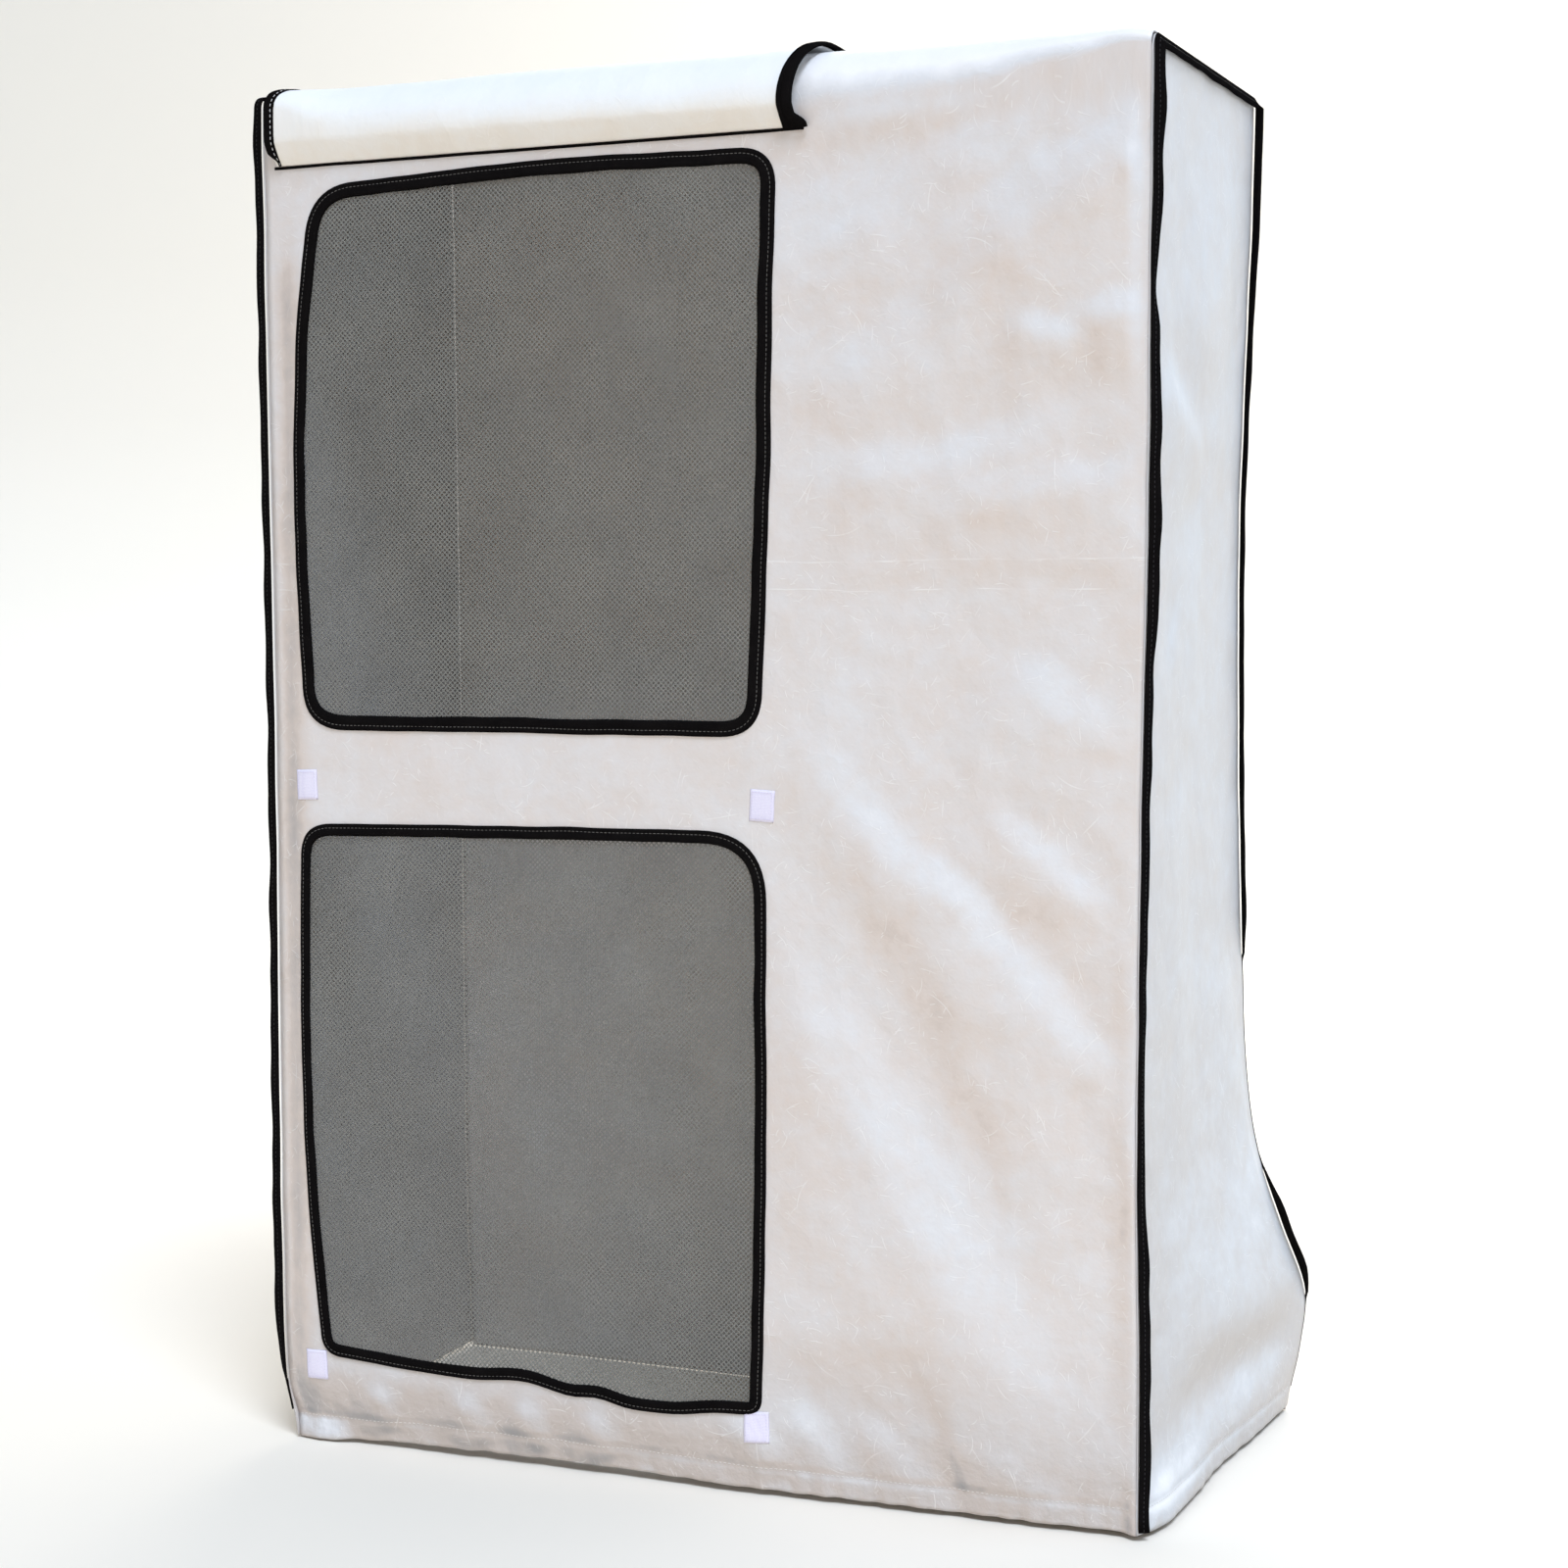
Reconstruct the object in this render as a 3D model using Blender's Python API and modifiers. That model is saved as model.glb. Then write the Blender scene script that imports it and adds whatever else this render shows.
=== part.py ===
"""Fitted cloth cover for a tall outdoor air conditioner.

One wide band of cloth makes the front, the top and the back. Two side panels close it, and black
tape binds the seams between them. The front has two mesh windows edged with tape, four grip
patches, and a flap that is sewn on above the upper window and turned back over the top.
Metres, +Z up, the front faces -Y. The origin is under the middle of the cover, at the hem.
"""
import math

import bmesh
import bpy
from mathutils import Vector

# Driving dimensions
WIDTH = 0.92
DEPTH = 0.39
HEIGHT = 1.35
CLOTH = 0.002
MESH = 0.001
GAP = 0.0003
JOIN_GAP = 0.0006
SEAM_TAPE_WIDTH = 0.011
SEAM_TAPE_THICK = 0.0026
WINDOW_TAPE_WIDTH = 0.015
WINDOW_TAPE_THICK = 0.0018
FLAP_LENGTH = 1.235
FLAP_TAPE_WIDTH = 0.012
FLAP_TAPE_THICK = 0.003
HINGE_TAPE_HEIGHT = 0.005
HINGE_TAPE_OVERHANG = 0.008
HINGE_TAPE_THICK = 0.0016
PATCH_WIDTH = 0.025
PATCH_HEIGHT = 0.030
PATCH_THICK = 0.001
PIECE_BEVEL = 0.0003

FRONT = -DEPTH / 2
REAR = DEPTH / 2
REAR_ROUND = 0.025
SEAM_ROUND = 0.012

# Windows: the outer edge of the tape, as (corner x, corner z, rounding) from the top left
# clockwise, and how far each side bows out: top, right, bottom, left.
WINDOWS = {
    "upper": {
        "corners": ((-0.402, 1.260, 0.056), (0.103, 1.272, 0.042), (0.090, 0.721, 0.042),
                    (-0.408, 0.720, 0.050)),
        "bows": (0.005, 0.003, 0.0, 0.011),
        "rows": (0.705, 1.287),
    },
    "lower": {
        "corners": ((-0.413, 0.626, 0.038), (0.096, 0.633, 0.070), (0.092, 0.075, 0.036),
                    (-0.392, 0.084, 0.042)),
        "bows": (0.001, 0.003, -0.003, 0.010),
        "rows": (0.060, 0.648),
    },
}
WINDOW_COLUMNS = (-0.435, 0.118)

# Lattice lines of the band across the front (x at the nominal width) and up each face.
COLUMNS = (-0.460, -0.435, -0.375, -0.300, -0.210, -0.120, -0.030, 0.040, 0.075, 0.118, 0.155, 0.190,
           0.225, 0.260, 0.295, 0.330, 0.365, 0.400, 0.435, 0.460)
FRONT_ROWS = (0.0, 0.020, 0.060, 0.120, 0.200, 0.280, 0.360, 0.420, 0.480, 0.550, 0.600, 0.648, 0.705,
              0.760, 0.820, 0.880, 0.940, 1.000, 1.060, 1.120, 1.180, 1.235, 1.287)
ARC_TURNS = (0.0, 0.25, 0.5, 0.75, 1.0)
TOP_ROWS = (-0.060, 0.0, 0.060, 0.120)
BACK_ROWS = (1.310, 1.240, 1.100, 0.940, 0.780, 0.620, 0.480, 0.360, 0.280, 0.200, 0.120, 0.060, 0.020, 0.0)
SIDE_SHARES = (0.0, 0.010, 0.031, 0.120, 0.250, 0.400, 0.550, 0.700, 0.850, 0.940, 0.985, 1.0)

# The rounding of the front top edge, and how far the cloth puffs up behind it, along x.
EDGE_ROUND = ((-0.460, 0.012), (-0.435, 0.017), (-0.375, 0.042), (-0.300, 0.052), (0.118, 0.058),
              (0.260, 0.048), (0.400, 0.026), (0.435, 0.016), (0.460, 0.012))
EDGE_PUFF = ((-0.460, 0.0), (-0.300, 0.006), (0.118, 0.013), (0.295, 0.010), (0.435, 0.008), (0.460, 0.003))

# Seam lines as (z, x, y).
FRONT_RIGHT = ((0.0, 0.457, FRONT), (0.15, 0.457, FRONT), (0.33, 0.454, FRONT), (0.70, 0.456, FRONT),
               (0.90, 0.459, FRONT), (1.35, 0.461, FRONT))
FRONT_LEFT = ((0.0, -0.428, FRONT), (0.020, -0.431, FRONT), (0.060, -0.439, FRONT), (0.28, -0.443, FRONT),
              (0.68, -0.444, FRONT), (1.08, -0.449, FRONT), (1.35, -0.452, FRONT))
REAR_RIGHT = ((0.0, 0.488, 0.285), (0.02, 0.491, 0.288), (0.06, 0.498, 0.296), (0.12, 0.502, 0.300),
              (0.20, 0.486, 0.256), (0.28, 0.470, 0.218), (0.36, 0.461, 0.202), (0.48, 0.456, REAR),
              (0.70, 0.450, REAR), (0.94, 0.449, REAR), (1.20, 0.457, REAR), (1.35, 0.460, REAR))
REAR_LEFT = ((0.0, -0.438, 0.199), (0.20, -0.443, 0.197), (0.70, -0.445, REAR), (1.35, -0.451, REAR))

# How far the seam tape stands off the side panel, in degrees from flat on it (0), along z.
FRONT_LEAN = {
    True: ((0.0, 62.0), (0.40, 56.0), (0.70, 52.0), (1.00, 62.0), (1.35, 66.0)),
    False: ((0.0, 12.0), (0.06, 34.0), (0.12, 58.0), (0.70, 56.0), (1.35, 64.0)),
}
REAR_LEAN = ((0.0, 16.0), (0.10, 20.0), (0.22, 26.0), (0.36, 12.0), (0.90, 12.0), (1.15, 20.0),
             (1.35, 28.0))
TOP_LEAN = {True: 24.0, False: 88.0}
SEAM_TAPE_ROWS = (0.003, 0.06, 0.15, 0.24, 0.33, 0.45, 0.58, 0.70, 0.82, 0.94, 1.06, 1.18, 1.28)
# Stations of the tape along the top: y, and how far it faces the front (-1) or the back (1) there.
TOP_TAPE_ROWS = ((FRONT + 0.35 * SEAM_ROUND, -1.0), (FRONT + SEAM_ROUND, 0.0), (-0.10, 0.0), (0.0, 0.0),
                 (0.10, 0.0), (REAR - REAR_ROUND, 0.0), (REAR - 0.3 * REAR_ROUND, 1.0))

# Soft folds of the front: from (x0, z0) to (x1, z1), half width and height, + out of the cloth.
FRONT_FOLDS = (
    (0.14, 1.265, 0.46, 1.325, 0.022, -0.0050),
    (0.15, 1.215, 0.44, 1.275, 0.024, 0.0050),
    (0.14, 1.190, 0.36, 1.150, 0.030, -0.0045),
    (0.20, 1.100, 0.43, 1.060, 0.034, 0.0060),
    (0.19, 0.955, 0.45, 0.985, 0.016, 0.0065),
    (0.18, 0.915, 0.44, 0.925, 0.022, -0.0050),
    (0.26, 0.860, 0.43, 0.760, 0.026, 0.0055),
    (0.22, 0.800, 0.36, 0.700, 0.030, -0.0050),
    (0.14, 0.720, 0.42, 0.490, 0.026, 0.0070),
    (0.24, 0.690, 0.42, 0.600, 0.018, 0.0050),
    (0.17, 0.560, 0.40, 0.350, 0.034, -0.0060),
    (0.26, 0.430, 0.39, 0.180, 0.036, -0.0070),
    (0.17, 0.420, 0.30, 0.150, 0.040, 0.0065),
    (0.36, 0.340, 0.44, 0.120, 0.030, 0.0050),
    (0.16, 0.120, 0.30, 0.050, 0.022, -0.0060),
    (0.24, 0.160, 0.40, 0.040, 0.022, 0.0055),
)
# Puckers of the front hem: x at the hem, half width and height; each leans back to the left.
HEM_PUCKERS = ((-0.38, 0.030, -0.004), (-0.26, 0.024, 0.005), (-0.14, 0.022, -0.004), (-0.03, 0.022, 0.006),
               (0.06, 0.020, -0.005), (0.15, 0.024, 0.006), (0.25, 0.022, -0.006), (0.34, 0.020, 0.005))
# Soft folds of the side panels: from (share, z0) to (share, z1), half width in z and height.
SIDE_FOLDS = (
    (0.10, 1.050, 0.80, 0.930, 0.050, -0.0050),
    (0.30, 0.720, 0.85, 0.600, 0.070, -0.0060),
    (0.15, 0.480, 0.75, 0.330, 0.060, 0.0050),
)
# How far the hem of the right side kicks out, along the panel's depth.
HEM_KICK = ((0.0, 0.0), (0.12, 0.005), (0.35, 0.010), (0.60, 0.009), (0.85, 0.003), (1.0, 0.0))
HEM_KICK_HEIGHT = 0.075
# Height of the front hem along x: its left corner hangs a little lower.
HEM_LEVEL = ((-0.46, -0.005), (-0.40, -0.003), (-0.30, 0.001), (-0.15, 0.003), (0.06, 0.001), (0.20, 0.0))

# The flap: its sides and its sewn edge. Each row has a place on the cover, how far the flap's outer
# face lies off the band there, and how far the flap has slipped sideways.
FLAP_LEFT = -0.442
FLAP_RIGHT = 0.122
FLAP_SEWN_Z = 1.280
FLAP_SEWN_RISE = 0.0065
FLAP_ROWS = (
    ("front", FLAP_SEWN_Z, 0.0038, 0.002),
    ("front arc", 0.0, 0.0150, 0.0),
    ("front arc", 0.25, 0.0140, 0.002),
    ("front arc", 0.5, 0.0100, 0.006),
    ("front arc", 0.75, 0.0068, 0.010),
    ("front arc", 1.0, 0.0055, 0.013),
    ("top", -0.060, 0.0050, 0.014),
    ("top", 0.0, 0.0050, 0.014),
    ("top", 0.060, 0.0050, 0.014),
    ("top", 0.120, 0.0050, 0.014),
    ("rear arc", 0.0, 0.0052, 0.014),
    ("rear arc", 0.5, 0.0056, 0.014),
    ("rear arc", 1.0, 0.0060, 0.014),
    ("back", 1.310, 0.0062, 0.014),
    ("back", 1.240, 0.0070, 0.014),
    ("back", 1.100, 0.0080, 0.014),
    ("back", 0.940, 0.0090, 0.014),
    ("back", 0.780, 0.0100, 0.014),
    ("back", 0.620, 0.0110, 0.014),
)

FLAP_COLUMNS = [x for x in COLUMNS if FLAP_LEFT + 0.02 < x < FLAP_RIGHT - 0.02]

PATCHES = {
    "grip_patch_upper_left": (-0.403, 0.665, -2.0),
    "grip_patch_upper_right": (0.091, 0.657, 3.0),
    "grip_patch_lower_left": (-0.398, 0.0755, -2.0),
    "grip_patch_lower_right": (0.085, 0.0625, -2.0),
}

COLOURS = {
    "cloth": (0.72, 0.68, 0.64, 0.62, 0.0),
    "mesh": (0.035, 0.034, 0.033, 0.55, 0.0),
    "tape": (0.012, 0.012, 0.014, 0.45, 0.0),
    "patch": (0.80, 0.78, 0.90, 0.70, 0.0),
}


def between(table, at):
    """Read a table of (place, value, ...) rows at one place, with straight lines between rows."""
    if at <= table[0][0]:
        row = table[0][1:]
    elif at >= table[-1][0]:
        row = table[-1][1:]
    else:
        for low, high in zip(table, table[1:]):
            if at <= high[0]:
                share = (at - low[0]) / (high[0] - low[0])
                row = [a + (b - a) * share for a, b in zip(low[1:], high[1:])]
                break
    return row[0] if len(row) == 1 else tuple(row)


def ease(value):
    """Smooth step from 0 to 1."""
    value = min(1.0, max(0.0, value))
    return value * value * (3 - 2 * value)


def ridge(across, along, from_u, from_v, to_u, to_v, half_width, height):
    """Height of one soft fold that runs between two points and fades at both ends."""
    run_u = to_u - from_u
    run_v = to_v - from_v
    length = math.hypot(run_u, run_v)
    share = ((across - from_u) * run_u + (along - from_v) * run_v) / length ** 2
    off = ((across - from_u) * run_v - (along - from_v) * run_u) / length
    fade = ease((share + 0.15) / 0.35) * ease((1.15 - share) / 0.35)
    return height * fade * math.exp(-(off / half_width) ** 2)


def front_relief(x, z):
    """How far the front cloth stands out at a point: flat round the windows, folded beside them."""
    beside = ease((x - 0.128) / 0.07) * ease((0.452 - x) / 0.035)
    folds = sum(ridge(x, z, *fold) for fold in FRONT_FOLDS)
    low = ease((0.058 - z) / 0.05)
    puckers = 0.0
    for hem_x, half_width, height in HEM_PUCKERS:
        puckers += height * math.exp(-((x - hem_x + 0.6 * z) / half_width) ** 2)
    ends = ease((0.445 - abs(x)) / 0.05)
    return folds * beside * ease((1.285 - z) / 0.05) + puckers * low * ends


def front_seam(z, right):
    return between(FRONT_RIGHT if right else FRONT_LEFT, z)


def rear_seam(z, right):
    return between(REAR_RIGHT if right else REAR_LEFT, z)


def seam_across(z, depth_share, right):
    """Sideways place of the seam line between the front (share 0) and the rear (share 1)."""
    front_x = front_seam(z, right)[0]
    return front_x + (rear_seam(z, right)[0] - front_x) * depth_share


def profile(x, row_kind, at):
    """Section of the cover across its depth: y, z and the outward way at one lattice row."""
    turn = between(EDGE_ROUND, x)
    crown = HEIGHT + between(EDGE_PUFF, x)
    if row_kind == "front":
        return FRONT - front_relief(x, at), at or between(HEM_LEVEL, x), (-1.0, 0.0)
    if row_kind == "front arc":
        angle = at * math.pi / 2
        side = (-math.cos(angle), math.sin(angle))
        return FRONT + turn * (1 + side[0]), crown - turn * (1 - side[1]), side
    if row_kind == "top":
        return at, HEIGHT, (0.0, 1.0)
    if row_kind == "rear arc":
        angle = at * math.pi / 2
        side = (math.sin(angle), math.cos(angle))
        return REAR - REAR_ROUND * (1 - side[0]), HEIGHT - REAR_ROUND * (1 - side[1]), side
    return REAR + back_relief(x, at), at, (1.0, 0.0)


def back_relief(x, z):
    """The back hangs plain, and its lower right corner is drawn out behind the seam."""
    corner_x, corner_y = rear_seam(z, True)
    reach = corner_y - REAR
    left_corner = rear_seam(z, False)[1] - REAR
    drawn = ease((x - corner_x + 0.30) / 0.30) ** 1.4
    soft = 0.003 * math.sin(math.pi * (x + WIDTH / 2) / WIDTH * 3 + 4 * z) * ease((0.42 - abs(x)) / 0.1)
    return reach * drawn + left_corner * ease((-0.2 - x) / 0.26) + soft * ease((HEIGHT - z) / 0.2)


def band_rows():
    rows = [("front", z) for z in FRONT_ROWS]
    rows += [("front arc", turn) for turn in ARC_TURNS]
    rows += [("top", y) for y in TOP_ROWS]
    rows += [("rear arc", turn) for turn in (0.0, 0.5)]
    rows += [("back", z) for z in (HEIGHT - REAR_ROUND,) + BACK_ROWS]
    return rows


def band_point(column, row_kind, at):
    """One point of the band's outer surface, drawn in to the seams at its two edges."""
    inset = CLOTH + JOIN_GAP
    y, z, _ = profile(column, row_kind, at)
    on_back = row_kind in ("back", "rear arc")
    depth_share = 0.0 if row_kind == "front" else min(1.0, (y - FRONT) / DEPTH)
    left = seam_across(z, depth_share, False) + inset
    right = seam_across(z, depth_share, True) - inset
    x = column
    if column <= COLUMNS[0]:
        x = left
    elif column >= COLUMNS[-1]:
        x = right
    elif column < WINDOW_COLUMNS[0] + 0.001:
        x = max(column, left + 0.004)
    elif on_back and column > 0.2:
        x = column + (right - COLUMNS[-1]) * ease((column - 0.2) / 0.26)
    if on_back and row_kind == "back":
        y = REAR + back_relief(x + (inset if column >= COLUMNS[-1] else 0.0), z)
    return Vector((x, y, z))


def lattice(columns, rows):
    """A flat grid mesh whose vertices are numbered by column and row."""
    mesh = bmesh.new()
    bmesh.ops.create_grid(mesh, x_segments=columns - 1, y_segments=rows - 1, size=1.0)
    places = {}
    for vert in mesh.verts:
        column = round((vert.co.x + 1) / 2 * (columns - 1))
        row = round((vert.co.y + 1) / 2 * (rows - 1))
        places[vert] = (column, row)
    return mesh, places


def window_outline(name, inset):
    """Closed outline of a window, a given way inside the outer edge of its tape."""
    window = WINDOWS[name]
    corners = [Vector((x, z)) for x, z, _ in window["corners"]]
    rounds = [rounding for _, _, rounding in window["corners"]]
    centre = sum(corners, Vector((0, 0))) / 4
    outline = []
    for index in range(4):
        here = corners[index]
        after = corners[(index + 1) % 4]
        before = corners[index - 1]
        start = here + (before - here).normalized() * rounds[index]
        end = here + (after - here).normalized() * rounds[index]
        for step in range(7):
            t = step / 6
            outline.append(start * (1 - t) ** 2 + here * 2 * t * (1 - t) + end * t ** 2)
        far = after + (here - after).normalized() * rounds[(index + 1) % 4]
        along = (far - end).normalized()
        outward = Vector((-along.y, along.x))
        for step in range(1, 8):
            t = step / 8
            outline.append(end.lerp(far, t) + outward * window["bows"][index] * 4 * t * (1 - t))
    shrunk = []
    for index, point in enumerate(outline):
        along = (outline[(index + 1) % len(outline)] - outline[index - 1]).normalized()
        shrunk.append(point + Vector((along.y, -along.x)) * inset)
    return centre, shrunk


def on_outline(name, inset, toward):
    """The point where a line from the window's centre to a place meets its outline."""
    centre, outline = window_outline(name, inset)
    way = toward - centre
    for index, point in enumerate(outline):
        first = outline[index - 1] - centre
        second = point - centre
        edge = second - first
        cross = way.x * edge.y - way.y * edge.x
        if abs(cross) < 1e-12:
            continue
        reach = (first.x * edge.y - first.y * edge.x) / cross
        share = (first.x * way.y - first.y * way.x) / cross
        if reach > 0 and -1e-9 <= share <= 1 + 1e-9:
            return centre + way * reach
    return toward


def material(name, kind):
    red, green, blue, roughness, metallic = COLOURS[kind]
    made = bpy.data.materials.new(name)
    made.use_nodes = True
    shader = made.node_tree.nodes["Principled BSDF"]
    shader.inputs["Base Color"].default_value = (red, green, blue, 1.0)
    shader.inputs["Roughness"].default_value = roughness
    shader.inputs["Metallic"].default_value = metallic
    made.diffuse_color = (red, green, blue, 1.0)
    return made


def add_piece(name, mesh, kind, thickness=None, offset=-1.0):
    """Turn a modelled surface into an object of the cover, thickened where it is a sheet."""
    data = bpy.data.meshes.new(name)
    mesh.to_mesh(data)
    mesh.free()
    piece = bpy.data.objects.new(name, data)
    parts.objects.link(piece)
    data.materials.append(material(name + "_finish", kind))
    data.shade_smooth()
    data.set_sharp_from_angle(angle=math.radians(40))
    if thickness:
        solid = piece.modifiers.new("thickness", "SOLIDIFY")
        solid.thickness = thickness
        solid.offset = offset
    piece.parent = frame
    return piece


def main_band():
    """Front, top and back in one cloth, with the two window openings cut in the front."""
    rows = band_rows()
    mesh, places = lattice(len(COLUMNS), len(rows))
    for vert, (column, row) in places.items():
        vert.co = band_point(COLUMNS[column], *rows[row])
    for name, window in WINDOWS.items():
        low = FRONT_ROWS.index(window["rows"][0])
        high = FRONT_ROWS.index(window["rows"][1])
        left = COLUMNS.index(WINDOW_COLUMNS[0])
        right = COLUMNS.index(WINDOW_COLUMNS[1])
        hole = []
        for face in mesh.faces:
            spots = [places[vert] for vert in face.verts]
            if all(left <= c <= right and low <= r <= high for c, r in spots):
                hole.append(face)
        bmesh.ops.delete(mesh, geom=hole, context="FACES_ONLY")
        rim = []
        for edge in mesh.edges:
            spots = [places[vert] for vert in edge.verts]
            inside = all(left <= c <= right and low <= r <= high for c, r in spots)
            if edge.is_boundary and inside:
                rim.append(edge)
        stray = [edge for edge in mesh.edges if edge.is_wire]
        loose = [vert for vert in mesh.verts if not vert.link_faces]
        bmesh.ops.delete(mesh, geom=stray, context="EDGES")
        bmesh.ops.delete(mesh, geom=[vert for vert in loose if vert.is_valid], context="VERTS")
        places = {vert: spot for vert, spot in places.items() if vert.is_valid}
        grown = bmesh.ops.extrude_edge_only(mesh, edges=rim)["geom"]
        for vert in grown:
            if isinstance(vert, bmesh.types.BMVert):
                spot = on_outline(name, WINDOW_TAPE_WIDTH / 2, Vector((vert.co.x, vert.co.z)))
                vert.co = Vector((spot.x, FRONT, spot.y))
                places[vert] = (-1, -1)
    bmesh.ops.recalc_face_normals(mesh, faces=mesh.faces)
    front_faces = [face for face in mesh.faces if face.calc_center_median().y < FRONT + 0.001]
    if front_faces[0].normal.y > 0:
        bmesh.ops.reverse_faces(mesh, faces=mesh.faces)
    add_piece("main_band", mesh, "cloth", CLOTH)


def window_mesh(name):
    """One mesh panel, let into its opening and held by the tape over both edges."""
    window = WINDOWS[name]
    low = FRONT_ROWS.index(window["rows"][0])
    high = FRONT_ROWS.index(window["rows"][1])
    left = COLUMNS.index(WINDOW_COLUMNS[0])
    right = COLUMNS.index(WINDOW_COLUMNS[1])
    mesh, places = lattice(right - left + 1, high - low + 1)
    inset = WINDOW_TAPE_WIDTH / 2 + JOIN_GAP
    sunk = (CLOTH - MESH) / 2
    for vert, (column, row) in places.items():
        spot = Vector((COLUMNS[left + column], FRONT_ROWS[low + row]))
        if column in (0, right - left) or row in (0, high - low):
            spot = on_outline(name, inset, spot)
        vert.co = Vector((spot.x, FRONT + sunk, spot.y))
    add_piece("window_mesh_" + name, mesh, "mesh", MESH)


def window_tape(name):
    """The tape round one window: a closed ring that covers the cut edge and the mesh's edge."""
    mesh = bmesh.new()
    outer = window_outline(name, 0.0)[1]
    inner = window_outline(name, WINDOW_TAPE_WIDTH)[1]
    ring = bmesh.ops.create_circle(mesh, segments=len(outer), radius=1.0)["verts"]
    ring.sort(key=lambda vert: -math.atan2(vert.co.y, vert.co.x))
    for vert, spot in zip(ring, outer):
        vert.co = Vector((spot.x, FRONT - GAP - WINDOW_TAPE_THICK, spot.y))
    grown = bmesh.ops.extrude_edge_only(mesh, edges=mesh.edges[:])["geom"]
    fresh = [vert for vert in grown if isinstance(vert, bmesh.types.BMVert)]
    for vert in fresh:
        near = min(range(len(outer)), key=lambda k: (outer[k] - Vector((vert.co.x, vert.co.z))).length)
        vert.co = Vector((inner[near].x, vert.co.y, inner[near].y))
    bmesh.ops.recalc_face_normals(mesh, faces=mesh.faces)
    if mesh.faces[:][0].normal.y > 0:
        bmesh.ops.reverse_faces(mesh, faces=mesh.faces)
    add_piece("window_tape_" + name, mesh, "tape", WINDOW_TAPE_THICK)


def top_of_side(y):
    """Height of the cover's end outline at a depth: rounded at the front and the back."""
    if y < FRONT + SEAM_ROUND:
        off = SEAM_ROUND - (y - FRONT)
        return HEIGHT - SEAM_ROUND + math.sqrt(max(0.0, SEAM_ROUND ** 2 - off ** 2))
    if y > REAR - REAR_ROUND:
        off = REAR_ROUND - (REAR - y)
        return HEIGHT - REAR_ROUND + math.sqrt(max(0.0, REAR_ROUND ** 2 - off ** 2))
    return HEIGHT


def side_panel(right):
    """One end of the cover. The right one is drawn out at its lower back and kicks out at the hem."""
    levels = tuple(reversed(BACK_ROWS[1:])) + (None,)
    mesh, places = lattice(len(SIDE_SHARES), len(levels))
    out = 1.0 if right else -1.0
    for vert, (column, row) in places.items():
        share = SIDE_SHARES[column]
        z = levels[row]
        front_x, front_y = front_seam(HEIGHT if z is None else z, right)
        rear_x, rear_y = rear_seam(HEIGHT if z is None else z, right)
        y = front_y + (rear_y - front_y) * share
        z = top_of_side(y) if z is None else z
        if row == 0:
            z = between(HEM_LEVEL, front_x) * (1 - share)
        calm = ease(share / 0.12) * ease((1 - share) / 0.12) * ease((HEIGHT - z) / 0.1)
        relief = sum(ridge(share, z, *fold) for fold in SIDE_FOLDS) * calm
        if right:
            relief += between(HEM_KICK, share) * ease((HEM_KICK_HEIGHT - z) / HEM_KICK_HEIGHT)
        x = front_x + (rear_x - front_x) * share + out * relief
        vert.co = Vector((x, y, z))
    if not right:
        bmesh.ops.reverse_faces(mesh, faces=mesh.faces)
    add_piece("side_panel_right" if right else "side_panel_left", mesh, "cloth", CLOTH)


def seam_tape(right):
    """One length of tape up the front seam, along the top and down the rear seam of one end.

    It is folded back over the side panel, and stands off it more or less along the way.
    """
    out = 1.0 if right else -1.0
    route = []

    def station(seam, corner, inward, lean):
        angle = math.radians(lean)
        way = Vector((out * math.sin(angle), 0, 0)) + Vector(inward).normalized() * math.cos(angle)
        route.append((Vector(seam), Vector(corner).normalized(), way))

    for z in SEAM_TAPE_ROWS + (HEIGHT - SEAM_ROUND,):
        station((*front_seam(z, right), z), (2 * out, -1, 0), (0, 1, 0), between(FRONT_LEAN[right], z))
    for y, turned in TOP_TAPE_ROWS:
        x = seam_across(HEIGHT, (y - FRONT) / DEPTH, right)
        station((x, y, top_of_side(y)), (2 * out, turned, 1), (0, -turned, -1), TOP_LEAN[right])
    for z in (HEIGHT - REAR_ROUND,) + BACK_ROWS[1:-1] + (SEAM_TAPE_ROWS[0],):
        station((*rear_seam(z, right), z), (2 * out, 1, 0), (0, -1, 0), between(REAR_LEAN, z))
    mesh, places = lattice(2, len(route))
    clear = SEAM_TAPE_THICK / 2 + JOIN_GAP
    for vert, (column, row) in places.items():
        seam, corner, way = route[row]
        vert.co = seam + corner * clear + way * SEAM_TAPE_WIDTH * column
    add_piece("seam_tape_right" if right else "seam_tape_left", mesh, "tape", SEAM_TAPE_THICK, 0.0)


def flap_rows():
    """The flap's rows, with the last ones placed so that the cloth has its cut length."""
    middle = (FLAP_LEFT + FLAP_RIGHT) / 2
    spots = [profile(middle, row_kind, at)[:2] for row_kind, at, _, _ in FLAP_ROWS]
    used = sum(math.dist(first, second) for first, second in zip(spots, spots[1:]))
    row_kind, last, off, slip = FLAP_ROWS[-1]
    end = last - (FLAP_LENGTH - used)
    return list(FLAP_ROWS) + [(row_kind, end + FLAP_TAPE_WIDTH, off, slip), (row_kind, end, off, slip)]


def sewn_rise(x):
    """How much higher the flap's sewn edge lies at a place than at its left end."""
    return FLAP_SEWN_RISE * (x - FLAP_LEFT) / (FLAP_RIGHT - FLAP_LEFT)


def flap_point(x, row, lift=0.0):
    row_kind, at, off, slip = row
    if row_kind == "front":
        at += sewn_rise(x)
    y, z, side = profile(x, row_kind, at)
    return Vector((x + slip, y + side[0] * (off + lift), z + side[1] * (off + lift)))


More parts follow.
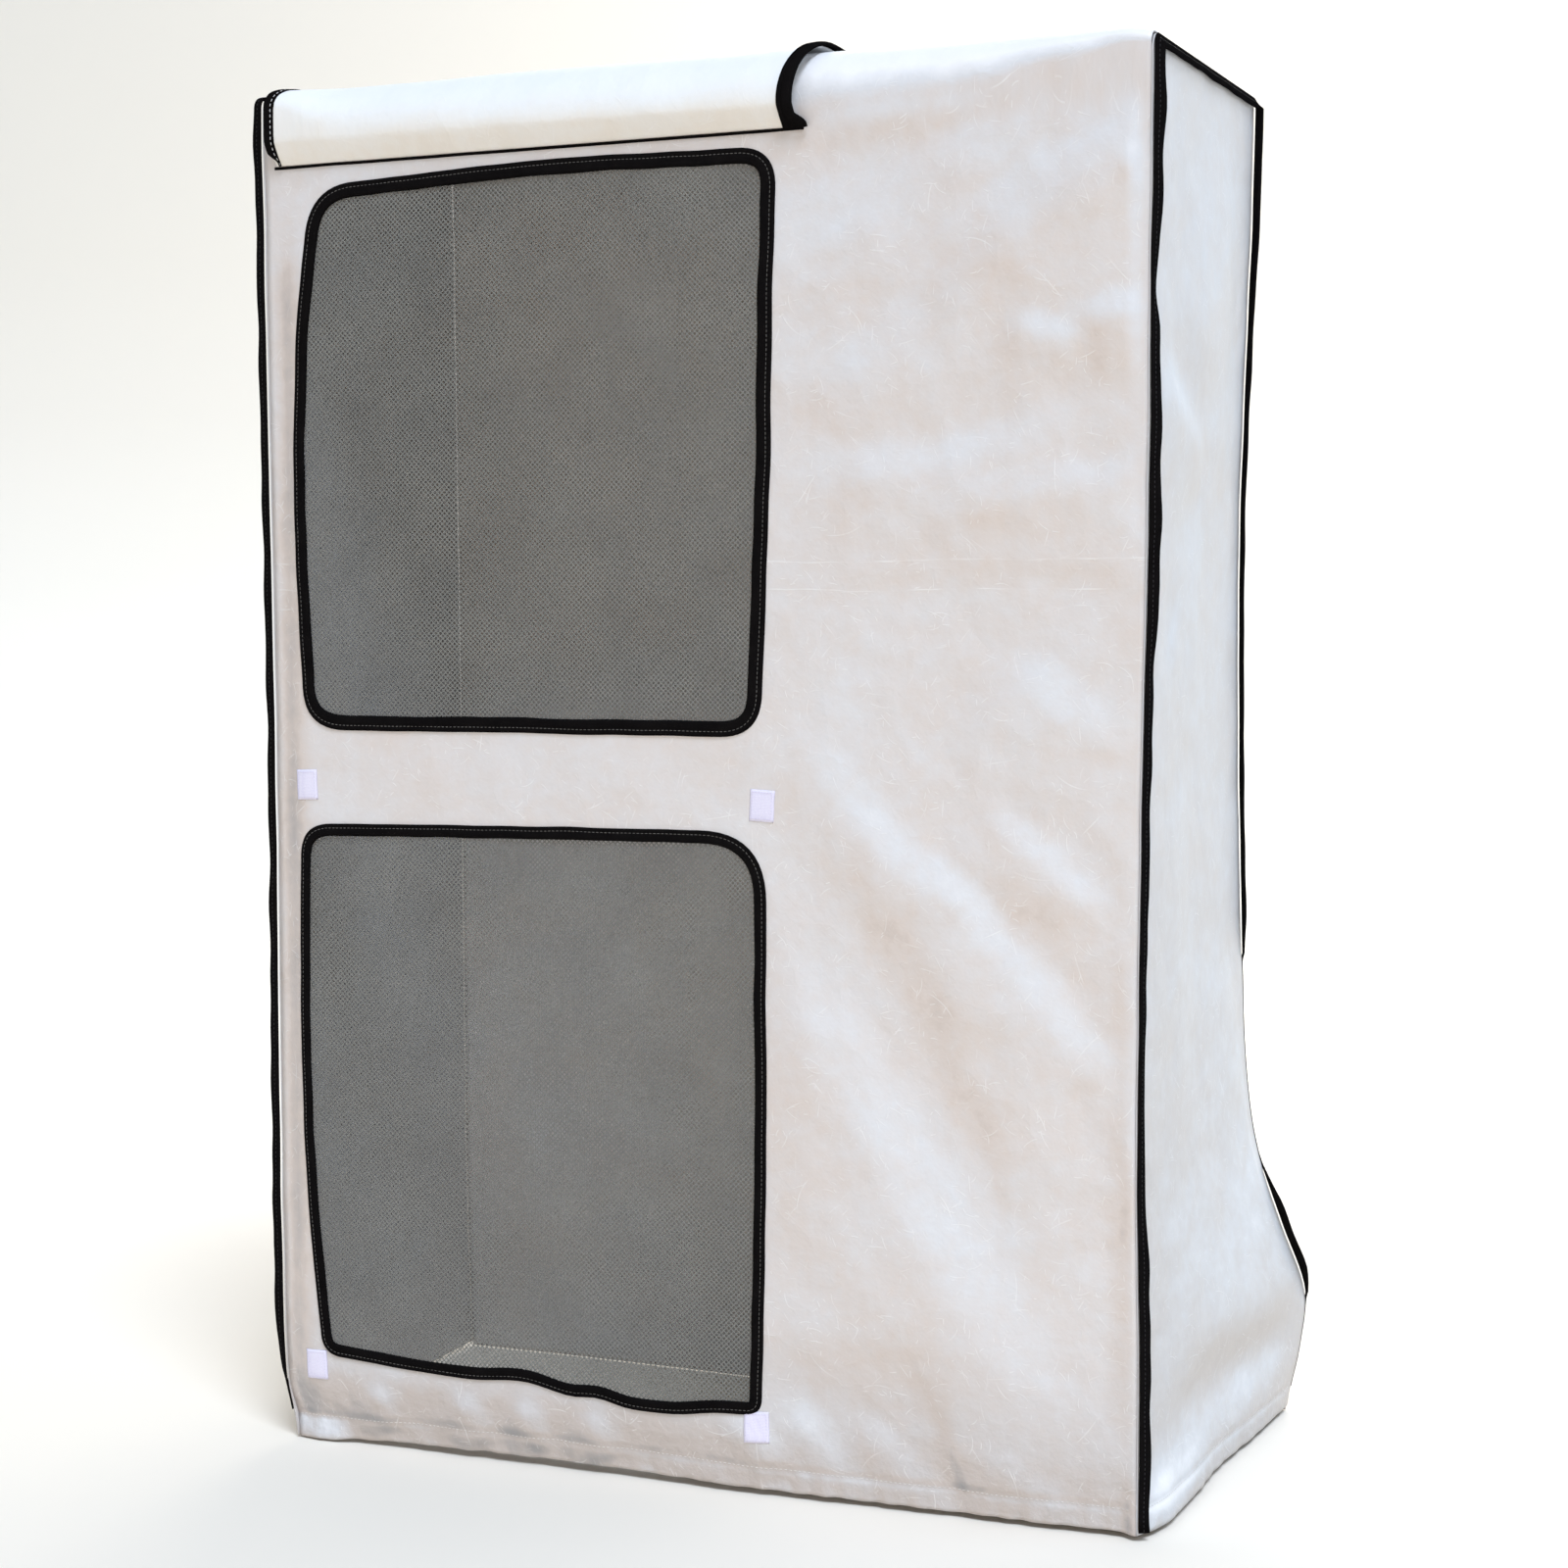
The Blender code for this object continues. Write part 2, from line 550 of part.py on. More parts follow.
def flap():
    """The window flap, turned up from its sewn edge, over the top and down behind."""
    left = FLAP_LEFT + FLAP_TAPE_WIDTH + JOIN_GAP
    right = FLAP_RIGHT - FLAP_TAPE_WIDTH - JOIN_GAP
    across = [left] + FLAP_COLUMNS + [right]
    rows = flap_rows()[:-1]
    row_kind, at, off, slip = rows[-1]
    rows[-1] = (row_kind, at + JOIN_GAP, off, slip)
    mesh, places = lattice(len(across), len(rows))
    for vert, (column, row) in places.items():
        vert.co = flap_point(across[column], rows[row])
    add_piece("window_flap", mesh, "cloth", CLOTH)


def flap_tape():
    """The tape on the flap's two sides and its free end, in one length."""
    left = FLAP_LEFT + FLAP_TAPE_WIDTH
    right = FLAP_RIGHT - FLAP_TAPE_WIDTH
    across = [FLAP_LEFT, left] + FLAP_COLUMNS + [right, FLAP_RIGHT]
    rows = flap_rows()
    mesh, places = lattice(len(across), len(rows))
    proud = (FLAP_TAPE_THICK - CLOTH) / 2
    for vert, (column, row) in places.items():
        vert.co = flap_point(across[column], rows[row], proud)
    middle = []
    for face in mesh.faces:
        spots = [places[vert] for vert in face.verts]
        if all(1 <= c <= len(across) - 2 and r <= len(rows) - 2 for c, r in spots):
            middle.append(face)
    bmesh.ops.delete(mesh, geom=middle, context="FACES")
    add_piece("flap_tape", mesh, "tape", FLAP_TAPE_THICK)


def flat_piece(name, size, place, tilt, kind):
    """A thin flat piece lying on the front, turned in its own plane."""
    mesh = bmesh.new()
    bmesh.ops.create_cube(mesh, size=1.0)
    bmesh.ops.scale(mesh, vec=size, verts=mesh.verts)
    edges = mesh.edges[:]
    bmesh.ops.bevel(mesh, geom=edges, offset=PIECE_BEVEL, segments=1, profile=0.5, affect="EDGES",
                    material=-1)
    piece = add_piece(name, mesh, kind)
    piece.location = place
    piece.rotation_euler = (0, tilt, 0)


def hinge_tape():
    """The narrow tape over the stitching that holds the flap's lower edge to the front."""
    length = FLAP_RIGHT - FLAP_LEFT + HINGE_TAPE_OVERHANG
    middle = (FLAP_RIGHT + FLAP_LEFT + HINGE_TAPE_OVERHANG) / 2
    depth = FRONT - GAP - HINGE_TAPE_THICK / 2
    low = FLAP_SEWN_Z + sewn_rise(middle) - HINGE_TAPE_HEIGHT / 2
    tilt = -math.atan2(FLAP_SEWN_RISE, FLAP_RIGHT - FLAP_LEFT)
    size = (length, HINGE_TAPE_THICK, HINGE_TAPE_HEIGHT)
    flat_piece("hinge_tape", size, (middle, depth, low), tilt, "tape")


def grip_patches():
    """Four pieces of hook tape that hold the flap when it is let down."""
    for name, (x, z, tilt) in PATCHES.items():
        place = (x, FRONT - GAP - PATCH_THICK / 2, z)
        size = (PATCH_WIDTH, PATCH_THICK, PATCH_HEIGHT)
        flat_piece(name, size, place, math.radians(tilt), "patch")


def stand_on_origin():
    """Move the cover so that the middle of its bounding box, at the hem, is at the origin."""
    bpy.context.view_layer.update()
    graph = bpy.context.evaluated_depsgraph_get()
    corners = []
    for piece in parts.objects:
        if piece.type == "MESH":
            placed = piece.evaluated_get(graph)
            corners += [placed.matrix_world @ Vector(corner) for corner in placed.bound_box]
    low = Vector([min(corner[axis] for corner in corners) for axis in range(3)])
    high = Vector([max(corner[axis] for corner in corners) for axis in range(3)])
    frame.location = (-(low.x + high.x) / 2, -(low.y + high.y) / 2, -low.z)
    print("cover frame moved by", tuple(round(value, 5) for value in frame.location))


for old in list(bpy.data.objects):
    bpy.data.objects.remove(old, do_unlink=True)
parts = bpy.data.collections.new("air_conditioner_cover")
bpy.context.scene.collection.children.link(parts)
frame = bpy.data.objects.new("cover_frame", None)
parts.objects.link(frame)

main_band()
for window_name in WINDOWS:
    window_mesh(window_name)
    window_tape(window_name)
for is_right in (True, False):
    side_panel(is_right)
    seam_tape(is_right)
flap()
flap_tape()
hinge_tape()
grip_patches()
stand_on_origin()
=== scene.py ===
"""The finished look of a fitted cloth cover for a tall outdoor air conditioner.

Each section makes one piece, or one group of like pieces, in the order in which the cover is sewn.
Metres, +Z up, the front with its two net windows faces -Y.
"""
import math

import bmesh
import bpy
import numpy as np
from mathutils import Matrix, Vector, noise


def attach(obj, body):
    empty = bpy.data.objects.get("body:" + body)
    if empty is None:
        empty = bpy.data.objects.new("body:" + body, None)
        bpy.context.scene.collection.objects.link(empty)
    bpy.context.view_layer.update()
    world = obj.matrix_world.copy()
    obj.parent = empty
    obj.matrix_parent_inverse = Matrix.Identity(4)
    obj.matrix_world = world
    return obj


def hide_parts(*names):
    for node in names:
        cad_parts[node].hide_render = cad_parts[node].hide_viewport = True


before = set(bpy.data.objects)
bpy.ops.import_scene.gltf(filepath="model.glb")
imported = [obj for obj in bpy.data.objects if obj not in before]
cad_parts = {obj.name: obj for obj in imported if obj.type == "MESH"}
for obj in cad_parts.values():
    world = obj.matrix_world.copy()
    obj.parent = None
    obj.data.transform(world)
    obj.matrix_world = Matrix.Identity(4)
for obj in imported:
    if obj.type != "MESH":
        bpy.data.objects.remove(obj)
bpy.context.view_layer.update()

# --- Viewpoint -----------------------------------------------------------------------------------
# The cover is seen from its right, from a little under two thirds of its height, with a lens of
# about 68 mm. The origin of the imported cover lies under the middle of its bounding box, while the
# cover is laid out below from the middle of the space for the unit: LAYOUT_SHIFT joins the two.
LAYOUT_SHIFT = Vector((-0.02205, -0.04541, 0.005))
VIEW_FROM = Vector((1.153, -2.747, 0.857))
VIEW_PITCH = -0.065
VIEW_YAW = 0.388

viewpoint = bpy.data.cameras.new("viewpoint")
viewpoint.lens = 67.5
viewpoint.sensor_width = 36.0
camera = bpy.data.objects.new("viewpoint", viewpoint)
camera.location = VIEW_FROM + LAYOUT_SHIFT
camera.rotation_euler = (math.pi / 2 + VIEW_PITCH, 0.0, VIEW_YAW)
bpy.context.scene.collection.objects.link(camera)
bpy.context.scene.camera = camera

# --- Band of cloth: front, top and back in one length --------------------------------------------
# One length of coated woven cloth, about 0.91 m wide, goes up the front, over the top and down the
# back. Two openings for the net windows are cut in its front, the hem is turned up and stitched, and
# the cloth is drawn into soft folds between the windows and the right seam.
WIDTH = 0.92
DEPTH = 0.39
HEIGHT = 1.35
FRONT = -DEPTH / 2
REAR = DEPTH / 2
REAR_ROUND = 0.010
SEAM_ROUND = 0.012
CLOTH = 0.0012
SEAM_ALLOWANCE = 0.0016
HEM_TURN = 0.022
BAND_WIDTH = 0.91
FRONT_ROW_LOW = 0.040
FRONT_ROW_STEP = 0.0052
FRONT_ROWS = 240

# Seam lines as (height, x, y), the rounding and the rise of the front top edge along x, and the
# height of the front hem along x.
FRONT_SEAM = {
    "right": ((0.0, 0.457, FRONT), (0.15, 0.457, FRONT), (0.33, 0.454, FRONT), (0.70, 0.456, FRONT),
              (0.90, 0.459, FRONT), (1.35, 0.461, FRONT)),
    "left": ((0.0, -0.428, FRONT), (0.020, -0.431, FRONT), (0.060, -0.439, FRONT), (0.28, -0.443, FRONT),
             (0.68, -0.444, FRONT), (1.08, -0.449, FRONT), (1.35, -0.452, FRONT)),
}
REAR_SEAM = {
    "right": ((0.0, 0.488, 0.285), (0.02, 0.491, 0.288), (0.06, 0.498, 0.296), (0.12, 0.502, 0.300),
              (0.20, 0.486, 0.256), (0.28, 0.470, 0.218), (0.36, 0.461, 0.202), (0.48, 0.456, REAR),
              (0.70, 0.450, REAR), (0.94, 0.449, REAR), (1.20, 0.457, REAR), (1.35, 0.460, REAR)),
    "left": ((0.0, -0.438, 0.199), (0.20, -0.443, 0.197), (0.70, -0.445, REAR), (1.35, -0.451, REAR)),
}
EDGE_ROUND = ((-0.460, 0.012), (-0.435, 0.017), (-0.375, 0.042), (-0.300, 0.052), (0.118, 0.058),
              (0.260, 0.048), (0.400, 0.026), (0.435, 0.016), (0.460, 0.012))
EDGE_PUFF = ((-0.460, 0.0), (-0.300, 0.006), (0.118, 0.013), (0.295, 0.010), (0.435, 0.008), (0.460, 0.003))
HEM_LEVEL = ((-0.46, -0.005), (-0.40, -0.003), (-0.30, 0.001), (-0.15, 0.003), (0.06, 0.001), (0.20, 0.0))

# Folds of the front, each as the line of its steep flank in (x, z, half width) points from left to
# right, the slope there, which is positive where the flank looks up, and the side, below (1) or above
# (-1) the line, on which the cloth slowly comes back to its plane.
# The points are in millimetres.
FRONT_FOLDS = (
    # the fan that spreads from the top right corner
    (((221, 1156, 11), (250, 1162, 20), (301, 1184, 29), (347, 1217, 29), (393, 1253, 22),
      (438, 1285, 13), (491, 1311, 11)), 0.25, 1),
    (((100, 1021, 11), (130, 1048, 14), (164, 1067, 15), (198, 1082, 16), (236, 1111, 21),
      (283, 1145, 21), (311, 1166, 16)), 0.16, 1),
    (((110, 1175, 16), (168, 1194, 21), (216, 1228, 21), (273, 1255, 21), (329, 1270, 19),
      (375, 1276, 16)), 0.10, 1),
    # the hollow under the rounded top edge
    (((105, 1269, 12), (154, 1276, 15), (226, 1285, 17), (292, 1303, 18), (356, 1316, 17),
      (410, 1325, 14), (455, 1339, 11)), -0.16, -1),
    (((420, 1232, 5), (438, 1243, 10), (460, 1249, 11), (491, 1254, 11)), 0.17, 1),
    # small lifted places at the right seam
    (((316, 1109, 4), (339, 1103, 9), (367, 1096, 12), (394, 1088, 7), (412, 1079, 3)), 0.24, 1),
    (((376, 1102, 7), (403, 1110, 12), (430, 1115, 14), (461, 1119, 13), (497, 1121, 11)), 0.22, 1),
    # the wide fold above the middle, and the hollow between the two packing creases
    (((95, 971, 11), (120, 975, 15), (164, 978, 17), (227, 978, 18), (274, 982, 16), (316, 999, 15),
      (367, 1028, 21), (394, 1036, 16)), 0.16, 1),
    (((215, 936, 12), (270, 946, 14), (349, 959, 18), (386, 964, 17), (422, 968, 15), (462, 972, 13),
      (498, 976, 11)), 0.15, 1),
    (((169, 874, 9), (236, 874, 12), (307, 874, 13), (377, 871, 13), (459, 869, 12), (495, 869, 12)),
     -0.06, 1),
    # the slanting folds from the windows down to the right seam
    (((322, 817, 7), (350, 795, 18), (378, 768, 24), (410, 747, 18), (437, 730, 10), (460, 717, 6)), 0.13,
     1),
    (((299, 754, 11), (341, 732, 15), (387, 722, 15), (424, 716, 14), (460, 704, 14), (492, 691, 14)),
     -0.06, -1),
    (((105, 747, 7), (135, 720, 14), (164, 693, 18), (194, 661, 18), (232, 617, 16), (261, 600, 14)),
     0.12, 1),
    (((159, 706, 11), (196, 659, 18), (232, 617, 19), (264, 598, 16), (299, 570, 16), (326, 535, 18),
      (361, 507, 18), (387, 470, 15), (412, 440, 14), (442, 409, 14), (472, 386, 12)), 0.20, 1),
    (((299, 671, 6), (332, 648, 13), (360, 626, 15), (388, 600, 15), (420, 577, 11), (443, 558, 7)), 0.20,
     1),
    (((360, 675, 9), (388, 653, 14), (415, 628, 14), (434, 597, 14), (461, 581, 14), (488, 573, 14)),
     -0.05, -1),
    (((271, 645, 11), (309, 610, 16), (346, 571, 17), (379, 537, 18), (407, 507, 19), (435, 468, 18),
      (472, 430, 16)), -0.05, -1),
    (((100, 710, 16), (125, 673, 22), (159, 633, 24), (186, 588, 25), (218, 534, 25), (252, 472, 24),
      (281, 419, 22), (305, 370, 20), (329, 322, 18), (350, 278, 16), (376, 239, 14),
      (409, 215, 11)), -0.10, -1),
    # the longest fold, from the lower window down to the corner of the hem
    (((95, 612, 10), (112, 562, 18), (132, 516, 22), (160, 472, 24), (184, 427, 26), (209, 382, 30),
      (233, 338, 33), (260, 294, 35), (287, 250, 35), (315, 206, 34), (346, 163, 31), (377, 121, 26),
      (405, 83, 20), (429, 54, 14), (447, 33, 10)), 0.18, 1),
    (((361, 451, 11), (389, 416, 18), (417, 382, 19), (440, 348, 18), (472, 315, 16)), -0.04, -1),
    # the cloth falling in below the lower window, and the puckers of the hem
    (((59, 140, 21), (120, 129, 32), (190, 127, 35), (248, 149, 30), (287, 158, 21)), -0.11, 1),
    (((100, 417, 9), (100, 347, 14), (120, 278, 16), (160, 244, 16), (204, 224, 13)), -0.04, 1),
    (((120, 103, 5), (138, 77, 13), (160, 46, 15), (185, 21, 12), (205, 4, 7)), 0.21, 1),
    (((185, 96, 5), (210, 70, 12), (239, 41, 14), (273, 17, 11), (292, 10, 6)), 0.19, 1),
    (((310, 75, 10), (331, 57, 12), (354, 38, 13), (382, 22, 11), (406, 14, 6)), 0.19, 1),
    (((59, 92, 6), (80, 71, 12), (100, 44, 14), (120, 23, 10)), 0.26, 1),
    (((-335, 70, 8), (-314, 41, 13), (-300, 12, 10)), 0.36, 1),
    (((-240, 72, 8), (-214, 41, 13), (-196, 10, 10)), 0.36, 1),
    (((-170, 70, 8), (-147, 40, 13), (-132, 10, 10)), 0.36, 1),
    (((-95, 68, 8), (-72, 38, 13), (-58, 8, 10)), 0.36, 1),
    # the hollow along the lower part of the right seam
    (((441, 680, 10), (441, 500, 13), (440, 300, 14), (441, 120, 13), (444, 0, 10)), -0.16, 1),
)


def read_table(table, at):
    """The values of a table of (place, value, ...) rows at one place, on a smooth curve."""
    if at <= table[0][0]:
        row = table[0][1:]
    elif at >= table[-1][0]:
        row = table[-1][1:]
    else:
        index = next(i for i in range(len(table) - 1) if at <= table[i + 1][0])
        low, high = table[index], table[index + 1]
        before = table[max(0, index - 1)]
        after = table[min(len(table) - 1, index + 2)]
        span = high[0] - low[0]
        t = (at - low[0]) / span
        row = []
        for k in range(1, len(low)):
            leave = (high[k] - before[k]) / (high[0] - before[0]) * span
            arrive = (after[k] - low[k]) / (after[0] - low[0]) * span
            row.append(low[k] * (2 * t ** 3 - 3 * t ** 2 + 1) + leave * (t ** 3 - 2 * t ** 2 + t)
                       + high[k] * (3 * t ** 2 - 2 * t ** 3) + arrive * (t ** 3 - t ** 2))
    return row[0] if len(row) == 1 else tuple(row)


def ease(value):
    """Smooth step from 0 to 1."""
    value = min(1.0, max(0.0, value))
    return value * value * (3 - 2 * value)


def wander(x, y, seed, size):
    """Even, repeatable unevenness from -1 to 1, with features of about a given size."""
    return noise.noise(Vector((x / size, y / size, seed)))


def smooth_line(points, steps=6):
    """A smooth curve through listed points, with a number of steps from each to the next."""
    line = []
    for index in range(len(points) - 1):
        before, low, high, after = (np.array(points[min(max(index + k, 0), len(points) - 1)])
                                    for k in (-1, 0, 1, 2))
        for step in range(steps):
            t = step / steps
            line.append(0.5 * (2 * low + (high - before) * t
                               + (2 * before - 5 * low + 4 * high - after) * t ** 2
                               + (3 * low - before - 3 * high + after) * t ** 3))
    line.append(np.array(points[-1]))
    return line


def soft_step(values):
    """Smooth step from 0 to 1 for a whole map of values."""
    values = np.clip(values, 0.0, 1.0)
    return values * values * (3 - 2 * values)


def add_fold(heights, across, up, path, slope, slow):
    """Add one fold to a map of heights: steep on its line, slowly coming back on one side."""
    path = [tuple(value / 1000 for value in point) for point in path]
    line = smooth_line(path)
    reach = 7 * max(point[2] for point in path)
    in_columns = (across > min(p[0] for p in path) - reach) & (across < max(p[0] for p in path) + reach)
    in_rows = (up > min(p[1] for p in path) - reach) & (up < max(p[1] for p in path) + reach)
    part = np.ix_(in_rows, in_columns)
    x, z = np.meshgrid(across[in_columns], up[in_rows])
    nearest = np.full(x.shape, 9.0)
    beyond, run, width = np.zeros(x.shape), np.zeros(x.shape), np.ones(x.shape)
    walked = 0.0
    for low, high in zip(line, line[1:]):
        run_x, run_z = high[0] - low[0], high[1] - low[1]
        length = math.hypot(run_x, run_z)
        t = np.clip(((x - low[0]) * run_x + (z - low[1]) * run_z) / length ** 2, 0, 1)
        off = np.hypot(x - low[0] - run_x * t, z - low[1] - run_z * t)
        closer = off < nearest
        nearest = np.where(closer, off, nearest)
        beyond = np.where(closer, off * np.sign(run_x * (z - low[1]) - run_z * (x - low[0])), beyond)
        run = np.where(closer, walked + length * t, run)
        width = np.where(closer, low[2] + (high[2] - low[2]) * t, width)
        walked += length
    swell = soft_step(run / walked / 0.36) * soft_step((1 - run / walked) / 0.30)
    width = (width + max(point[2] for point in path)) / 2
    place = beyond * slow / width
    flank = 1 - (soft_step((place + 1) / 2) + np.clip((place + 1) / 2, 0, 1)) / 2
    back = np.exp(-(np.maximum(0, -place - 1) / 3.4) ** 2)
    heights[part] += slow * slope * width * 4 / 3 * flank * back * swell


def blurred(heights, times):
    """A map of heights with its sharpest bends taken out."""
    for _ in range(times):
        for axis in (0, 1):
            heights = (np.roll(heights, 1, axis) + 2 * heights + np.roll(heights, -1, axis)) / 4
    return heights


def read_map(heights, across, up, x, z):
    """A height read off a map at one place, between its four nearest entries."""
    column = min(len(across) - 2.001, max(0.0, (x - across[0]) / (across[1] - across[0])))
    row = min(len(up) - 2.001, max(0.0, (z - up[0]) / (up[1] - up[0])))
    left, low = int(column), int(row)
    right_share, high_share = column - left, row - low
    under = heights[low, left] * (1 - right_share) + heights[low, left + 1] * right_share
    over = heights[low + 1, left] * (1 - right_share) + heights[low + 1, left + 1] * right_share
    return float(under * (1 - high_share) + over * high_share)


MAP_STEP = 0.0025
front_across = np.arange(-0.47, 0.48, MAP_STEP)
front_up = np.arange(-0.02, 1.40, MAP_STEP)
front_map = np.zeros((len(front_up), len(front_across)))
for fold in FRONT_FOLDS:
    add_fold(front_map, front_across, front_up, *fold)
grid_x, grid_z = np.meshgrid(front_across, front_up)
beside_windows = soft_step((grid_x - 0.040) / 0.10) * soft_step((1.310 - grid_z) / 0.03)
below_windows = soft_step((0.080 - grid_z) / 0.03)
front_map *= np.maximum(beside_windows, below_windows)
# The nets hold their part of the front a little proud, so the strip at the left turns away, and the
# cloth falls in below the lower window.
front_map += 0.010 * soft_step((grid_x + 0.446) / 0.048) * soft_step((1.27 - grid_z) / 0.14) * soft_step(
    (0.43 - grid_x) / 0.5)
front_map -= (0.007 + 0.008 * soft_step((0.10 - grid_x) / 0.2)) * soft_step((0.072 - grid_z) / 0.078)
front_map = blurred(front_map, 3)


def front_relief(x, z):
    """How far the front cloth stands out of its plane."""
    ends = ease((0.456 - x) / 0.016) * ease((x + 0.446) / 0.03)
    beside = ease((x - 0.11) / 0.05)
    crumple = (0.0007 * wander(x, z, 1.0, 0.075) + 0.0005 * wander(x, z, 5.0,
                                                                   0.030)) * (0.35 + 0.65 * beside)
    hem = z - read_table(HEM_LEVEL, x)
    stitched = -0.0009 * math.exp(-((hem - HEM_TURN) / 0.0035) ** 2)
    ruffle = 0.0022 * wander(x, z * 0.4, 11.0, 0.016) * ease((0.034 - hem) / 0.03)
    ruffle += 0.009 * ease((-0.350 - x) / 0.05) * ease((0.026 - hem) / 0.026)
    return (read_map(front_map, front_across, front_up, x, z) + crumple + stitched + ruffle) * ends


def seam_point(table, z, side):
    """A seam's place at a height: the tabled line, with the slight waver of sewn cloth."""
    x, y = read_table(table[side], z)
    waver = 0.0009 * wander(z, 0.0, 21.0 if side == "right" else 27.0, 0.07)
    return x + waver, y


def seam_across(z, share, side):
    """Sideways place of the end seams at a share of the way from the front to the rear."""
    front_x = seam_point(FRONT_SEAM, z, side)[0]
    return front_x + (seam_point(REAR_SEAM, z, side)[0] - front_x) * share


def back_relief(x, z):
    """How far the back stands out: plain, with its lower right corner drawn out."""
    corner_x, corner_y = seam_point(REAR_SEAM, z, "right")
    drawn = ease((x - corner_x + 0.30) / 0.30) ** 1.4
    left = seam_point(REAR_SEAM, z, "left")[1] - REAR
    soft = 0.003 * math.sin(math.pi * (x + WIDTH / 2) / WIDTH * 3 + 4 * z)
    soft += 0.0022 * wander(x, z, 14.0, 0.11) + 0.0008 * wander(x, z, 15.0, 0.035)
    soft *= ease((0.44 - abs(x)) / 0.08) * ease((HEIGHT - z) / 0.1)
    return (corner_y - REAR) * drawn + left * ease((-0.2 - x) / 0.26) + soft


def band_rows():
    """The band's rows from the front hem to the back hem, as (kind, place)."""
    rows = [("front", 0.003 * step) for step in range(12)]
    rows += [("front", FRONT_ROW_LOW + FRONT_ROW_STEP * step) for step in range(FRONT_ROWS)]
    rows += [("rise", step / 6) for step in range(1, 6)]
    rows += [("front arc", step / 12) for step in range(13)]
    rows += [("top", step / 22) for step in range(1, 22)]
    rows += [("rear arc", step / 5) for step in range(6)]
    rows += [("back", HEIGHT - REAR_ROUND - 0.0213 * step) for step in range(1, 61)]
    rows += [("back", 0.038 - 0.0055 * step) for step in range(8)]
    return rows


def plain_section(x, kind, at):
    """The band's section without its small creases: (y, z) and the outward way."""
    turn = read_table(EDGE_ROUND, x)
    crown = HEIGHT + read_table(EDGE_PUFF, x)
    if kind == "front":
        return (FRONT, at), (-1.0, 0.0)
    if kind == "rise":
        last = FRONT_ROW_LOW + FRONT_ROW_STEP * (FRONT_ROWS - 1)
        return (FRONT, last + (crown - turn - last) * at), (-1.0, 0.0)
    if kind == "front arc":
        angle = at * math.pi / 2
        way = (-math.cos(angle), math.sin(angle))
        return (FRONT + turn * (1 + way[0]), crown - turn * (1 - way[1])), way
    if kind == "top":
        start = FRONT + turn
        rise = (crown - HEIGHT) * (1 - ease(at / 0.5))
        return (start + (REAR - REAR_ROUND - start) * at, HEIGHT + rise), (0.0, 1.0)
    if kind == "rear arc":
        angle = at * math.pi / 2
        way = (math.sin(angle), math.cos(angle))
        return (REAR - REAR_ROUND * (1 - way[0]), HEIGHT - REAR_ROUND * (1 - way[1])), way
    return (REAR + back_relief(x, at), at), (1.0, 0.0)


def band_section(x, kind, at):
    """The band's outer surface across its depth at one row: y and z."""
    (y, z), _ = plain_section(x, kind, at)
    if kind == "front":
        z += read_table(HEM_LEVEL, x) * (1 - at / 0.2) if at < 0.2 else 0.0
        z += 0.0016 * wander(x, 0.0, 19.0, 0.022) * ease((0.012 - at) / 0.012)
    if kind in ("front", "rise", "front arc"):
        y -= front_relief(x, z) * (1 - at if kind == "front arc" else 1)
    if kind == "top":
        z += (0.0012 * wander(x, y, 17.0, 0.09) * ease((0.44 - abs(x)) / 0.05)
              * ease(at / 0.1) * ease((1 - at) / 0.1))
    if kind == "back":
        z -= 0.004 * ease((0.06 - at) / 0.06)
    return y, z


def band_point(share, kind, at):
    """One point of the band's outer surface, at a share of its width from left to right."""
    y, z = band_section(-0.45 + BAND_WIDTH * share, kind, at)
    depth_share = 0.0 if kind in ("front", "rise") else min(1.0, max(0.0, (y - FRONT) / DEPTH))
    left = seam_across(z, depth_share, "left") + SEAM_ALLOWANCE
    right = seam_across(z, depth_share, "right") - SEAM_ALLOWANCE
    x = left + (right - left) * share
    y, z = band_section(x, kind, at)
    return Vector((x, y, z))


def lattice(columns, rows):
    """A flat grid of faces that can note its painted light and shade, and the (column, row) of its
    vertices.
    """
    mesh = bmesh.new()
    mesh.verts.layers.float.new("painted_light")
    bmesh.ops.create_grid(mesh, x_segments=columns - 1, y_segments=rows - 1, size=1.0)
    places = {}
    for vert in mesh.verts:
        column = round((vert.co.x + 1) / 2 * (columns - 1))
        row = round((vert.co.y + 1) / 2 * (rows - 1))
        places[vert] = (column, row)
    return mesh, places


def lay_out(mesh, places, across, along):
    """Give a lattice the map 'cut': the place of each corner on the flat cloth, in metres."""
    layer = mesh.loops.layers.uv.new("cut")
    for face in mesh.faces:
        for loop in face.loops:
            column, row = places[loop.vert]
            loop[layer].uv = (across[column], along[row])


def note_painted_light(mesh, upward=2.6):
    """Note how much painted light each place gets from the way it faces.

    Where it looks up it gets painted light and where it looks down painted shade. It is a little lighter
    where it looks right and a deeper painted shade where it looks left.
    """
    mesh.normal_update()
    layer = mesh.verts.layers.float["painted_light"]
    for vert in mesh.verts:
        way = vert.normal
        sideways = (0.9 if way.x > 0 else 2.2) * way.x * abs(way.y)
        vert[layer] = min(2.0, max(-1.0, 0.5 + upward * way.z + sideways))


def face_forward(mesh):
    """Turn all faces the same way, with the foremost one looking to the front."""
    bmesh.ops.recalc_face_normals(mesh, faces=mesh.faces)
    if min(mesh.faces, key=lambda face: face.calc_center_median().y).normal.y > 0:
        bmesh.ops.reverse_faces(mesh, faces=mesh.faces)


def area_of(mesh):
    """The area of all faces of a surface."""
    return sum(face.calc_area() for face in mesh.faces)


def running_lengths(points):
    """How far along a line of points each one lies."""
    lengths = [0.0]
    for here, after in zip(points, points[1:]):
        lengths.append(lengths[-1] + (after - here).length)
    return lengths


